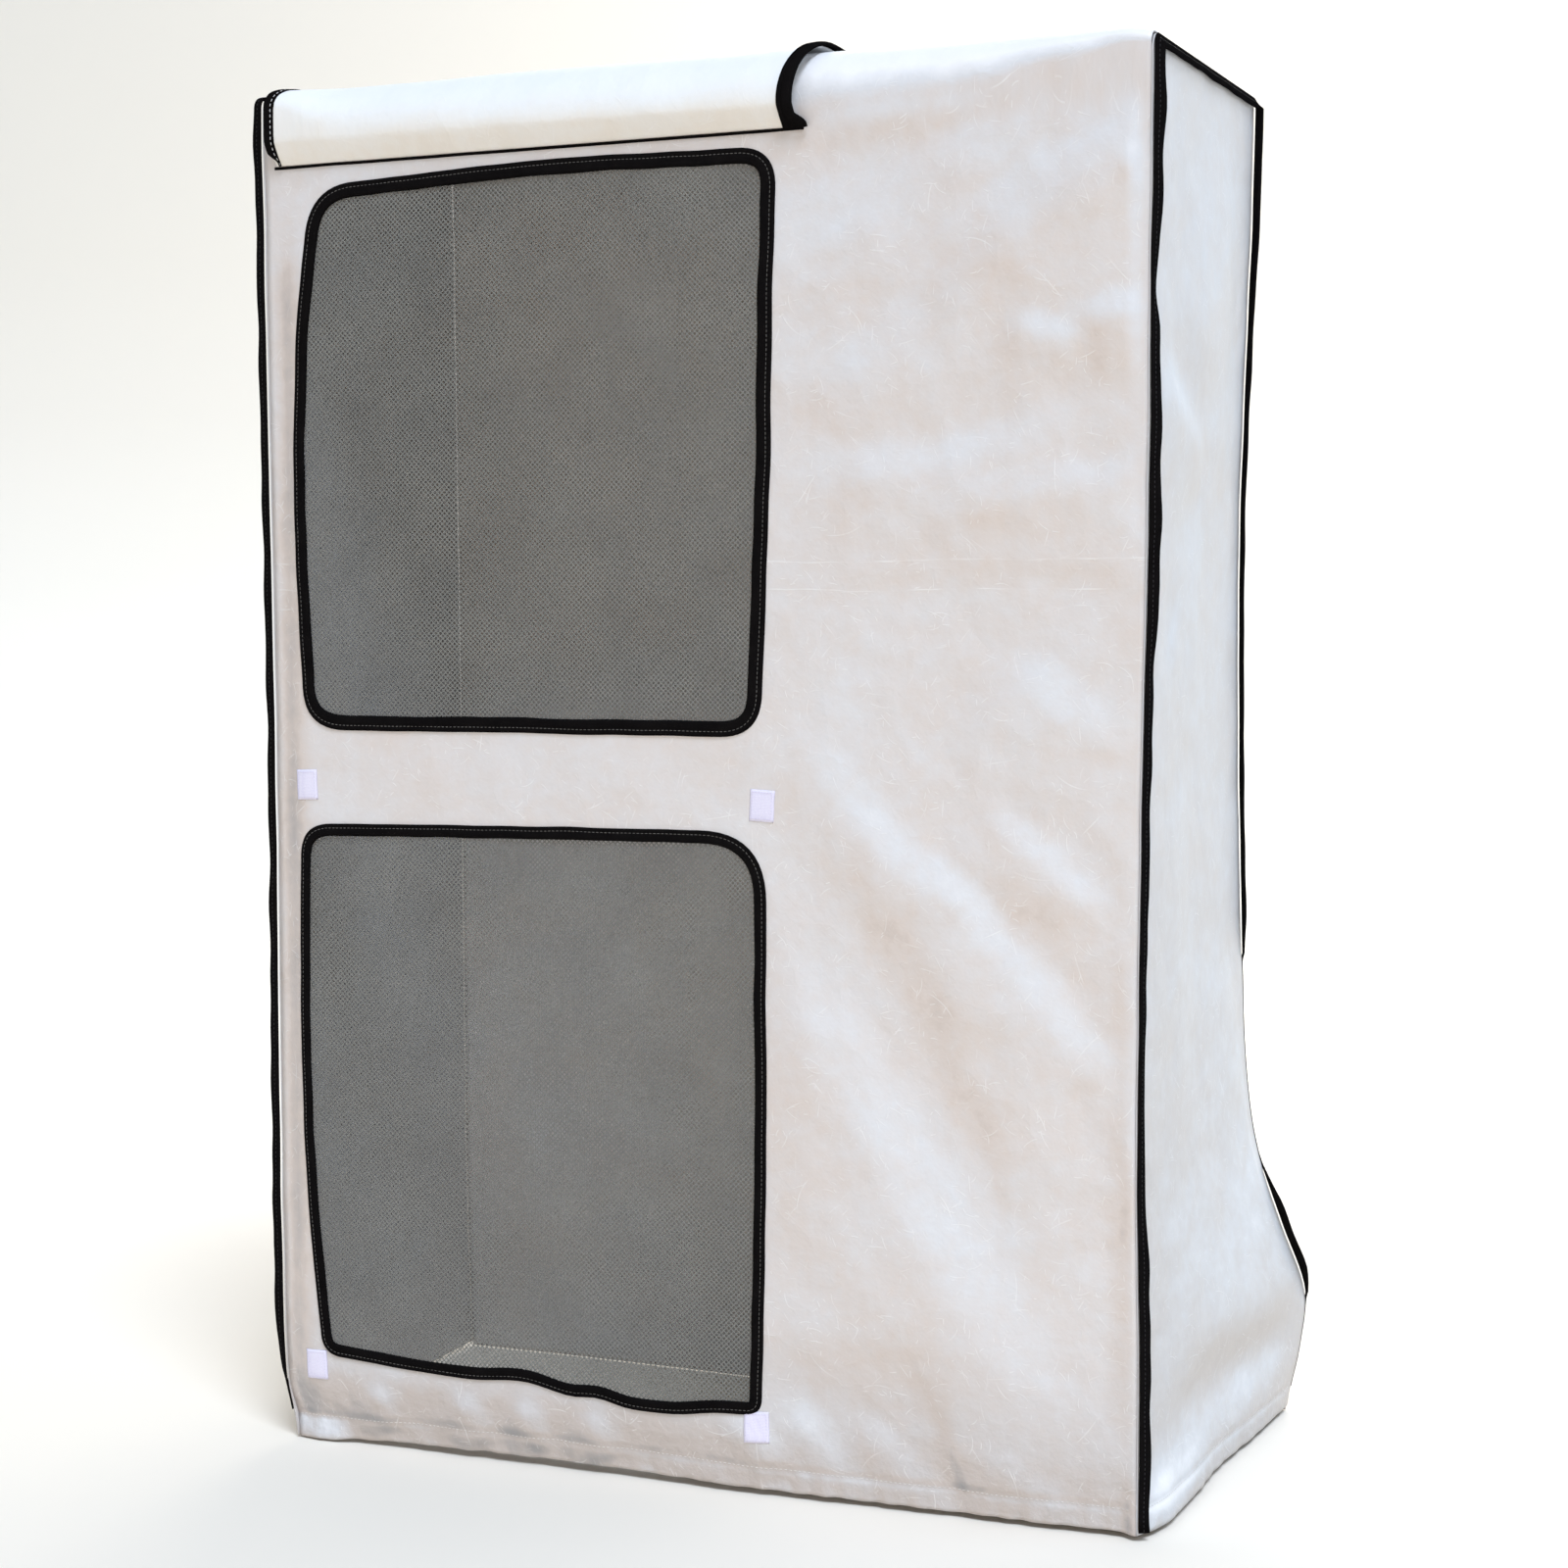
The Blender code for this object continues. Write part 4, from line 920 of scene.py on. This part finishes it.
def black_tape(name, dull, bright):
    """Woven polyester binding: near black, ribbed across every 1.2 mm, with a soft sheen."""
    made, tree, shader = new_material(name, 0.6, 0.0)
    cut = add_node(tree, "UVMap", {"uv_map": "cut"})
    tone = add_node(tree, "TexNoise", None, {"Vector": cut, "Scale": 45.0, "Detail": 3.0, "Roughness": 0.6})
    colour = add_node(tree, "Mix", {"data_type": "RGBA"}, {"Factor": tone, "A": linear(dull),
            "B": linear(bright)})
    feed(shader, {"Base Color": colour})
    rib = add_node(tree, "TexWave", {"wave_type": "BANDS", "bands_direction": "Y"}, {"Vector": cut,
            "Scale": 2 / 0.0012 / 2 / math.pi, "Distortion": 0.4})
    first = add_node(tree, "Bump", None, {"Strength": 0.35, "Distance": 0.0002,
                                          "Height": rib.outputs["Fac"]})
    second = add_node(tree, "Bump", None, {"Strength": 0.4, "Distance": 0.0008, "Height": tone,
            "Normal": first})
    feed(shader, {"Normal": second})
    return made


def thread(name, colour, roughness):
    """Sewing thread of spun polyester."""
    made, tree, shader = new_material(name, roughness, 0.4)
    place = add_node(tree, "TexCoord").outputs["Object"]
    twist = add_node(tree, "TexNoise", None, {"Vector": place, "Scale": 900.0, "Detail": 1.0})
    mixed = add_node(tree, "Mix", {"data_type": "RGBA"}, {"Factor": twist, "A": linear(colour[0]),
            "B": linear(colour[1])})
    feed(shader, {"Base Color": mixed})
    return made


TO_FRONT = Vector((0, -1, 0))


def sew(name, path, material, stitch, pitch, thick):
    """A row of stitches along a path of (point, outward normal), as small rounded threads."""
    mesh = bmesh.new()
    walked = 0.0
    due = pitch / 2
    for (here, normal), (after, _) in zip(path, path[1:]):
        run = after - here
        while run.length > 0 and due <= walked + run.length:
            spot = here + run * ((due - walked) / run.length)
            along = run.normalized()
            side = along.cross(normal).normalized()
            up = side.cross(along)
            turned = Matrix((along, side, up)).transposed().to_4x4()
            size = Matrix.Diagonal((stitch, thick, thick, 1.0))
            bmesh.ops.create_icosphere(mesh, subdivisions=1, radius=0.5,
                                       matrix=Matrix.Translation(spot) @ turned @ size)
            due += pitch
        walked += run.length
    return finish_piece(name, mesh, material, [])


tape_black = black_tape("black_woven_tape", "#0B0A0B", "#191717")
grey_thread = thread("grey_thread", ("#55534F", "#7C7974"), 0.45)
TAPE_STEPS = 10
for window_name in WINDOWS:
    outer = window_outline(window_name, 0.0)
    inner = window_outline(window_name, WINDOW_TAPE[window_name])
    stations = len(outer)
    mesh, places = lattice(TAPE_STEPS + 1, stations + 1)
    shares = spread(0.0, 1.0, TAPE_STEPS)
    walked = running_lengths(outer + outer[:1])
    for vert, (column, row) in places.items():
        index = row % stations
        reach = 1.0 + 0.06 * wander(walked[index], 0.0, 61.0, 0.05)
        spot = outer[index].lerp(inner[index], shares[column] * reach)
        rise = 0.0003 + tape_profile(shares[column], WINDOW_STITCH_SHARE, WINDOW_TAPE_THICK)
        rise *= 1.0 + 0.18 * wander(walked[index], shares[column], 63.0, 0.03)
        vert.co = on_front(spot.x, spot.y, rise)
    lay_out(mesh, places, [WINDOW_TAPE[window_name] * share for share in shares], walked)
    bmesh.ops.remove_doubles(mesh, verts=mesh.verts, dist=0.00002)
    face_forward(mesh)
    finish_piece("tape_" + window_name, mesh, tape_black, ["window_tape_" + window_name], 0.0010)
    row_of_stitches = window_outline(window_name, WINDOW_TAPE[window_name] * WINDOW_STITCH_SHARE)
    lift = 0.0006 + tape_profile(WINDOW_STITCH_SHARE, WINDOW_STITCH_SHARE, WINDOW_TAPE_THICK)
    path = [(on_front(point.x, point.y, lift), TO_FRONT) for point in row_of_stitches + row_of_stitches[:1]]
    sew("stitches_" + window_name, path, grey_thread, 0.0038, 0.0043, 0.0008)

# --- Tape over the seams -------------------------------------------------------------------------
# The seams between the band and the side panels are bound with the same black tape. It is folded
# over the raw edges and sewn through, so it stands off as a flat welt, lying back over the sides.
SEAM_TAPE = 0.0112
SEAM_TAPE_THICK = 0.0026
# How far the welt leans at each height, in degrees from lying on the side panel. At 255 it is
# tucked behind the seam, out of sight.
FRONT_LEAN = {
    "right": ((0.0, 56.0), (0.15, 52.0), (0.24, 42.0), (0.32, 20.0), (0.44, 10.0), (0.52, 16.0),
              (0.60, 22.0), (0.74, 24.0), (0.82, 38.0), (0.86, 62.0), (0.93, 66.0), (0.98, 58.0),
              (1.04, 40.0), (1.09, 28.0), (1.125, 2.0), (1.17, 22.0), (1.24, 44.0), (1.35, 58.0)),
    "left": ((0.0, 8.0), (0.03, 10.0), (0.07, 54.0), (0.12, 76.0), (0.70, 70.0), (1.35, 72.0)),
}
REAR_LEAN = {
    "right": ((0.0, 255.0), (0.098, 255.0), (0.108, 255.0), (0.118, 60.0), (0.128, 64.0), (0.21, 60.0),
              (0.25, 46.0), (0.262, 40.0), (0.272, 255.0), (0.282, 255.0), (0.47, 255.0), (0.48, 255.0),
              (0.49, 32.0), (0.50, 34.0), (0.93, 36.0), (1.05, 38.0), (1.15, 44.0), (1.25, 54.0),
              (1.35, 60.0)),
    "left": ((0.0, 10.0), (1.35, 28.0)),
}
# The heights where the right rear welt turns over, and is drawn in narrow.
REAR_TURNS = (0.113, 0.267, 0.485)
TOP_LEAN = {"right": 14.0, "left": 88.0}


def seam_route(side):
    """Stations of the tape up the front seam, along the top and down the rear: place, corner, way."""
    out = 1.0 if side == "right" else -1.0
    route = []

    def station(seam, corner, inward, lean, narrowed=1.0):
        angle = math.radians(lean)
        way = Vector((out * math.sin(angle), 0, 0)) + Vector(inward).normalized() * math.cos(angle)
        route.append((Vector(seam), Vector(corner).normalized(), way * narrowed))

    for step in range(134):
        z = 0.003 + 0.01 * step
        if side == "left" and z < 0.02:
            continue
        station((*seam_point(FRONT_SEAM, z, side), z), (2 * out, -1, 0), (0, 1, 0),
                read_table(FRONT_LEAN[side], z))
    last = read_table(FRONT_LEAN[side], 1.333)
    for step in range(1, 8):
        turn = step / 8
        angle = turn * math.pi / 2
        y = FRONT + SEAM_ROUND * (1 - math.cos(angle))
        z = HEIGHT - SEAM_ROUND * (1 - math.sin(angle))
        x = seam_across(z, (y - FRONT) / DEPTH, side)
        station((x, y, z), (2 * out, -math.cos(angle), math.sin(angle)),
                (0, math.cos(angle), -math.sin(angle)),
                last + (TOP_LEAN[side] - last) * turn)
    for step in range(36):
        y = FRONT + SEAM_ROUND + (REAR - REAR_ROUND - FRONT - SEAM_ROUND) * step / 35
        x = seam_across(HEIGHT, (y - FRONT) / DEPTH, side)
        station((x, y, HEIGHT), (2 * out, 0, 1), (0, 0, -1), TOP_LEAN[side])
    first = read_table(REAR_LEAN[side], 1.325)
    for step in range(1, 8):
        turn = step / 8
        angle = turn * math.pi / 2
        y = REAR - REAR_ROUND * (1 - math.sin(angle))
        z = HEIGHT - REAR_ROUND * (1 - math.cos(angle))
        x = seam_across(z, (y - FRONT) / DEPTH, side)
        station((x, y, z), (2 * out, math.sin(angle), math.cos(angle)),
                (0, -math.sin(angle), -math.cos(angle)),
                TOP_LEAN[side] + (first - TOP_LEAN[side]) * turn)
    for step in range(133):
        z = HEIGHT - REAR_ROUND - 0.01 * step
        lean = read_table(REAR_LEAN[side], z)
        corner = (2 * out, 1, 0) if lean < 120 else (0.4 * out, 2, 0)
        nearest = min(abs(z - turn) for turn in REAR_TURNS) if side == "right" else 1.0
        station((*seam_point(REAR_SEAM, z, side), z), corner, (0, -1, 0), lean,
                0.25 + 0.75 * ease(nearest / 0.045))
    return route


dark_thread = thread("dark_thread", ("#18171A", "#2C2A2C"), 0.5)
WELT_POINTS = 14
for side in ("right", "left"):
    route = seam_route(side)
    mesh, places = lattice(WELT_POINTS + 1, len(route))
    walked = running_lengths([stop[0] for stop in route])
    path = []
    for index, (seam, corner, way) in enumerate(route):
        along = route[min(index + 1, len(route) - 1)][0] - route[max(index - 1, 0)][0]
        face = along.normalized().cross(way).normalized()
        if face.dot(corner) < 0:
            face = -face
        uneven = wander(walked[index], 0.0, 71.0 if side == "right" else 77.0, 0.045)
        width = SEAM_TAPE * (1.0 + 0.22 * uneven)
        root = seam + corner * (SEAM_TAPE_THICK / 2 + 0.0003)
        route[index] = (root, way, face, width)
        path.append((root + way * width * 0.45 + face * (SEAM_TAPE_THICK / 2 - 0.0002), face))
    for vert, (column, row) in places.items():
        root, way, face, width = route[row]
        angle = 2 * math.pi * (column % WELT_POINTS) / WELT_POINTS
        reach = 0.5 - 0.5 * math.copysign(abs(math.cos(angle)) ** 0.6, math.cos(angle))
        rise = math.copysign(abs(math.sin(angle)) ** 0.7, math.sin(angle))
        pinch = 1.0 - 0.35 * math.exp(-((reach - 0.45) / 0.12) ** 2)
        vert.co = root + way * width * reach + face * rise * pinch * SEAM_TAPE_THICK / 2
    around = [0.026 * step / WELT_POINTS for step in range(WELT_POINTS + 1)]
    lay_out(mesh, places, around, walked)
    bmesh.ops.remove_doubles(mesh, verts=mesh.verts, dist=0.00002)
    bmesh.ops.holes_fill(mesh, edges=[edge for edge in mesh.edges if edge.is_boundary])
    bmesh.ops.recalc_face_normals(mesh, faces=mesh.faces)
    finish_piece("seam_welt_" + side, mesh, tape_black, ["seam_tape_" + side])
    sew("seam_stitches_" + side, path, dark_thread, 0.0032, 0.0044, 0.0008)

# --- Stitches of the hem --------------------------------------------------------------------------
# The hem is turned up by 22 mm and held by one row of off-white stitches, which pull the cloth in.
hem_thread = thread("hem_thread", ("#CFCCC8", "#EDEAE7"), 0.5)
path = [(on_front(x, read_table(HEM_LEVEL, x) * 0.89 + HEM_TURN, 0.0003), TO_FRONT)
        for x in spread(-0.428, 0.450, 220)]
sew("hem_stitches_front", path, hem_thread, 0.0034, 0.0048, 0.0008)
path = [(side_point("right", share, HEM_TURN / HEIGHT) + Vector((0.0003, 0, 0)), Vector((1, 0, 0)))
        for share in spread(0.02, 0.98, 110)]
sew("hem_stitches_right", path, hem_thread, 0.0034, 0.0048, 0.0008)

# --- Flap ----------------------------------------------------------------------------------------
# A flap of smoother, whiter cloth can be let down over both windows. Here it is turned up from its
# sewn edge above the upper window, rolls over the front top edge and hangs down behind.
FLAP_LEFT = -0.442
FLAP_RIGHT = 0.122
FLAP_SEWN_Z = 1.280
FLAP_SEWN_RISE = 0.0065
FLAP_LENGTH = 1.235
FLAP_TAPE = 0.012
FLAP_CLOTH = 0.0012
# Its course over the cover: run of cloth from the sewn edge, stand-off from the band, sideways slip.
FLAP_STAND = ((0.0, 0.0034, 0.002), (0.012, 0.0100, 0.001), (0.026, 0.0150, 0.000),
              (0.048, 0.0142, 0.002), (0.070, 0.0100, 0.006), (0.092, 0.0068, 0.010),
              (0.115, 0.0055, 0.013), (0.20, 0.0050, 0.014), (0.45, 0.0056, 0.014), (0.60, 0.0070, 0.014),
              (1.235, 0.0110, 0.014))


def flap_course():
    """The course under the flap, from its sewn edge up, over and down: (run, kind, place)."""
    centre = (FLAP_LEFT + FLAP_RIGHT) / 2
    course = [("front", FLAP_SEWN_Z + 0.003 * step) for step in range(9)]
    course += [("front arc", step / 12) for step in range(1, 13)]
    course += [("top", step / 22) for step in range(1, 22)]
    course += [("rear arc", step / 6) for step in range(7)]
    course += [("back", HEIGHT - REAR_ROUND - 0.0125 * step) for step in range(1, 75)]
    runs = running_lengths([Vector(plain_section(centre, kind, at)[0]) for kind, at in course])
    return [(run, kind, at) for run, (kind, at) in zip(runs, course)]


COURSE = flap_course()


def flap_point(x, run, lift=0.0):
    """A point of the flap's outer face: its place across, and its run of cloth from the sewn edge."""
    index = next((i for i in range(len(COURSE) - 1) if run <= COURSE[i + 1][0]), len(COURSE) - 2)
    low, high = COURSE[index], COURSE[index + 1]
    share = (run - low[0]) / (high[0] - low[0])
    stand, slip = read_table(FLAP_STAND, run)
    spots = []
    for _, kind, at in (low, high):
        (y, z), way = plain_section(x, kind, at)
        off = stand + lift
        spots.append(Vector((x + slip, y + way[0] * off, z + way[1] * off)))
    spot = spots[0].lerp(spots[1], share)
    rise = FLAP_SEWN_RISE * (x - FLAP_LEFT) / (FLAP_RIGHT - FLAP_LEFT)
    spot.z += rise * (1 - ease(run / 0.05))
    settled = ease((run - 0.02) / 0.1)
    ripple = 0.0007 * wander(x, run, 81.0, 0.06) * settled + 0.0012 * wander(x, run, 83.0, 0.2) * settled
    spot.y += ripple if run > 0.5 else -ripple * 0.5
    spot.z += 0.0 if run > 0.5 else ripple
    return spot


# The flap's colours: a warm painted shade, a cool painted light, a near-white painted highlight and a grey
# painted shade on cloth facing left or down; no shade near the floor.
flap_cloth = coated_cloth("coated_cloth_flap", "#F1EBE2", "#F4F7F8", "#FFFFFF", 0.16, "#EADFD0")
FLAP_COLUMNS = 79
flap_runs = [0.0025 * step for step in range(13)] + [0.0375 + 0.0062 * step for step in range(22)]
flap_runs += [0.1690 + 0.0117 * step for step in range(1, 90)]
flap_runs = [run for run in flap_runs if run < FLAP_LENGTH - FLAP_TAPE] + [FLAP_LENGTH - FLAP_TAPE]
flap_low = FLAP_LEFT + FLAP_TAPE * 0.5
flap_high = FLAP_RIGHT - FLAP_TAPE * 0.5
across = spread(flap_low, flap_high, FLAP_COLUMNS - 1)
mesh, places = lattice(FLAP_COLUMNS, len(flap_runs))
for vert, (column, row) in places.items():
    vert.co = flap_point(across[column], flap_runs[row])
lay_out(mesh, places, [4.0 + x for x in across], flap_runs)
note_painted_light(mesh, 0.9)
flap_area = area_of(mesh)
flap = finish_piece("flap_cloth", mesh, flap_cloth, ["window_flap"], FLAP_CLOTH)

# --- Tape round the flap -------------------------------------------------------------------------
# The two sides and the free end of the flap are bound with the same black tape, 12 mm wide. Its row
# of white stitches lies nearer the cloth. The tape's lower right end stands out as a short foot.
FLAP_TAPE_THICK = 0.00255
FLAP_TAPE_CROWN = 0.0018
FLAP_STITCH_SHARE = 0.70


def edge_tape(name, course, replaced):
    """A strip of tape along a course of (outer edge, inner edge, outward way) stations."""
    mesh, places = lattice(TAPE_STEPS + 1, len(course))
    shares = spread(0.0, 1.0, TAPE_STEPS)
    for vert, (column, row) in places.items():
        outer, inner, way = course[row]
        rise = tape_profile(shares[column], FLAP_STITCH_SHARE, FLAP_TAPE_CROWN)
        vert.co = outer.lerp(inner, shares[column]) + way * (rise - 0.0004)
    lay_out(mesh, places, [FLAP_TAPE * share for share in shares],
            running_lengths([stop[0] for stop in course]))
    return finish_piece(name, mesh, tape_black, replaced, FLAP_TAPE_THICK)


def flap_edge(at_outer, at_inner, run_list, foot):
    """Stations of a side tape: outer and inner edge at each run, and the way out; its foot slips."""
    course = []
    for run in run_list:
        outer = flap_point(at_outer + foot * (1 - ease((run - 0.003) / 0.010)), run)
        inner = flap_point(at_inner, run)
        ahead = flap_point(at_outer, run + 0.004) - flap_point(at_outer, max(0.0, run - 0.004))
        way = ahead.cross(inner - outer).normalized()
        if at_outer > at_inner:
            way = -way
        course.append((outer, inner, -way))
    return course


white_thread = thread("white_thread", ("#D8D8DA", "#F4F4F4"), 0.5)
tape_runs = [0.0020 * step for step in range(60)] + [0.120 + 0.008 * step for step in range(139)]
tape_runs = [run for run in tape_runs if run < FLAP_LENGTH] + [FLAP_LENGTH]
left_course = flap_edge(FLAP_LEFT, FLAP_LEFT + FLAP_TAPE, tape_runs, 0.009)
right_course = flap_edge(FLAP_RIGHT, FLAP_RIGHT - FLAP_TAPE, tape_runs, 0.010)
end_course = [(flap_point(x, FLAP_LENGTH), flap_point(x, FLAP_LENGTH - FLAP_TAPE), Vector((0, 1, 0)))
              for x in spread(FLAP_LEFT + FLAP_TAPE, FLAP_RIGHT - FLAP_TAPE, 60)]
for name, course in (("left", left_course), ("right", right_course), ("end", end_course)):
    edge_tape("flap_tape_" + name, course, ["flap_tape"])
    lift = tape_profile(FLAP_STITCH_SHARE, FLAP_STITCH_SHARE, FLAP_TAPE_CROWN) - 0.0001
    path = [(outer.lerp(inner, FLAP_STITCH_SHARE) + way * lift, way) for outer, inner, way in course]
    sew("flap_stitches_" + name, path, white_thread, 0.0036, 0.0054, 0.0010)

# --- Tape over the flap's sewn edge --------------------------------------------------------------
# A narrow black tape covers the stitching where the flap is sewn to the band. It is only just seen
# under the roll, as a dark line that ends in a short foot at the right.
HINGE_TAPE = 0.003
mesh, places = lattice(7, 90)
for vert, (column, row) in places.items():
    x = FLAP_LEFT + 0.004 + (FLAP_RIGHT + 0.004 - FLAP_LEFT) * row / 89
    z = FLAP_SEWN_Z + FLAP_SEWN_RISE * (x - FLAP_LEFT) / (FLAP_RIGHT - FLAP_LEFT)
    z -= HINGE_TAPE * (1 - column / 6)
    z += 0.0004 * wander(x, 0.0, 91.0, 0.05)
    vert.co = on_front(x, z, 0.0003 + tape_profile(column / 6, 0.5, 0.0010))
lay_out(mesh, places, spread(0.0, HINGE_TAPE, 6), spread(0.0, 0.572, 89))
face_forward(mesh)
finish_piece("hinge_strip", mesh, tape_black, ["hinge_tape"], 0.0008)

# --- Grip patches --------------------------------------------------------------------------------
# Four pieces of white hook tape, 25 by 30 mm, hold the flap when it is let down. Each is sewn on
# round its edge. The moulded hooks are 1.4 mm apart and give the patch a matt, faintly lilac white.
PATCHES = {
    "upper_left": (-0.403, 0.665, -2.0),
    "upper_right": (0.091, 0.657, 3.0),
    "lower_left": (-0.398, 0.0755, -2.0),
    "lower_right": (0.085, 0.0625, -2.0),
}
PATCH_WIDTH = 0.025
PATCH_HEIGHT = 0.030


def hook_tape(name):
    """White nylon hook tape: matt, with fine rows of moulded hooks."""
    made, tree, shader = new_material(name, 0.7, 0.3)
    place = add_node(tree, "TexCoord").outputs["Object"]
    rows_of_hooks = add_node(tree, "TexVoronoi", None,
                             {"Vector": place, "Scale": 1 / 0.0014, "Randomness": 0.25})
    colour = add_node(tree, "Mix", {"data_type": "RGBA"}, {"Factor": rows_of_hooks, "A": linear("#F4F1FF"),
            "B": linear("#DDD8F2")})
    feed(shader, {"Base Color": colour})
    raised = add_node(tree, "Bump", {"invert": True}, {"Strength": 0.5, "Distance": 0.0005,
            "Height": rows_of_hooks})
    feed(shader, {"Normal": raised})
    return made


hooks = hook_tape("white_hook_tape")
patch_thread = thread("patch_thread", ("#CFCBE4", "#E6E3F4"), 0.6)
for patch_name, (x, z, tilt) in PATCHES.items():
    turned = Matrix.Translation((x, FRONT, z)) @ Matrix.Rotation(math.radians(tilt), 4, "Y")
    mesh = bmesh.new()
    bmesh.ops.create_grid(mesh, x_segments=14, y_segments=16, size=0.5)
    for vert in mesh.verts:
        across_share, up_share = vert.co.x, vert.co.y
        edge_way = max(abs(across_share), abs(up_share)) * 2
        spot = turned @ Vector((across_share * PATCH_WIDTH, 0, up_share * PATCH_HEIGHT))
        spot.x += 0.0003 * wander(spot.x, spot.z, 95.0, 0.008)
        rise = 0.0011 * (1 - ease((edge_way - 0.86) / 0.14)) + 0.0006
        rise -= 0.0003 * math.exp(-((edge_way - 0.80) / 0.07) ** 2)
        vert.co = on_front(spot.x, spot.z, rise)
    face_forward(mesh)
    finish_piece("hook_patch_" + patch_name, mesh, hooks, ["grip_patch_" + patch_name], 0.0006)
    corners = [Vector((0.40 * PATCH_WIDTH * right, 0, 0.42 * PATCH_HEIGHT * up))
               for right, up in ((-1, -1), (1, -1), (1, 1), (-1, 1), (-1, -1))]
    path = []
    for start, end in zip(corners, corners[1:]):
        for step in range(8):
            spot = turned @ start.lerp(end, step / 8)
            path.append((on_front(spot.x, spot.z, 0.0018), TO_FRONT))
    path.append(path[0])
    sew("patch_stitches_" + patch_name, path, patch_thread, 0.0022, 0.0030, 0.0006)

# --- Floor and light -----------------------------------------------------------------------------
# A plain pale floor that sweeps up into a wall far behind, under soft studio light: cool and broad
# from high up at the right of the front, warm and low from the floor in front.
SWEEP_REACH = 4.8
SWEEP_ROUND = 1.6
sweep = bmesh.new()
bmesh.ops.create_grid(sweep, x_segments=2, y_segments=40, size=1.0)
for vert in sweep.verts:
    share = (vert.co.y + 1) / 2
    run = share * 20.0
    flat = 7.0 + SWEEP_REACH - SWEEP_ROUND
    turn = min(max(run - flat, 0.0) / SWEEP_ROUND, math.pi / 2)
    rise = max(0.0, run - flat - SWEEP_ROUND * math.pi / 2)
    y = min(run, flat) - 7.0 + SWEEP_ROUND * math.sin(turn)
    vert.co = (vert.co.x * 9.0, y, SWEEP_ROUND * (1 - math.cos(turn)) + rise - 0.0006)
bmesh.ops.recalc_face_normals(sweep, faces=sweep.faces)
sweep_data = bpy.data.meshes.new("floor")
sweep.to_mesh(sweep_data)
sweep.free()
sweep_data.shade_smooth()
floor = bpy.data.objects.new("floor", sweep_data)
bpy.context.scene.collection.objects.link(floor)
floor_paint, _, floor_shader = new_material("pale_floor", 0.85, 0.2)
feed(floor_shader, {"Base Color": linear("#F7F0E4")})
sweep_data.materials.append(floor_paint)

world = bpy.data.worlds.new("studio")
bpy.context.scene.world = world
world.use_nodes = True
feed(world.node_tree.nodes["Background"], {"Color": linear("#DBE5F1"), "Strength": 0.48})



def hang_light(name, kind, place, aim, power, colour):
    """Hang one light and turn it to what it lights."""
    light = bpy.data.lights.new(name, kind)
    light.energy = power
    light.color = linear(colour)[:3]
    holder = bpy.data.objects.new(name, light)
    holder.location = place
    holder.rotation_euler = (Vector(aim) - Vector(place)).to_track_quat("-Z", "Y").to_euler()
    bpy.context.scene.collection.objects.link(holder)
    return light


high = hang_light("high_light", "SUN", (0.0, 0.0, 0.0), (-1.2, 1.6, -3.1), 2.5, "#DEEAFB")
high.angle = math.radians(24)
# Each lamp: its place, its aim, its size, its power in watts and its colour.
LAMPS = (
    ("low_warm", (0.6, -3.6, 0.25), (0.1, 0.0, 0.6), 2.6, 30.0, "#FFDBA8"),
    ("side_cool", (2.5, 0.5, 2.3), (0.4, 0.0, 1.1), 1.2, 9.0, "#C6DCFF"),
    ("backdrop", (0.0, 2.4, 3.4), (0.0, 5.6, 1.0), 2.5, 60.0, "#FFFFFF"),
    ("behind", (-0.6, 3.2, 3.0), (0.0, 0.0, 0.7), 2.4, 45.0, "#FFF8F0"),
)
for lamp_name, place, aim, size, power, colour in LAMPS:
    lamp = hang_light(lamp_name, "AREA", place, aim, power, colour)
    lamp.size = size
bpy.context.scene.view_settings.view_transform = "Standard"
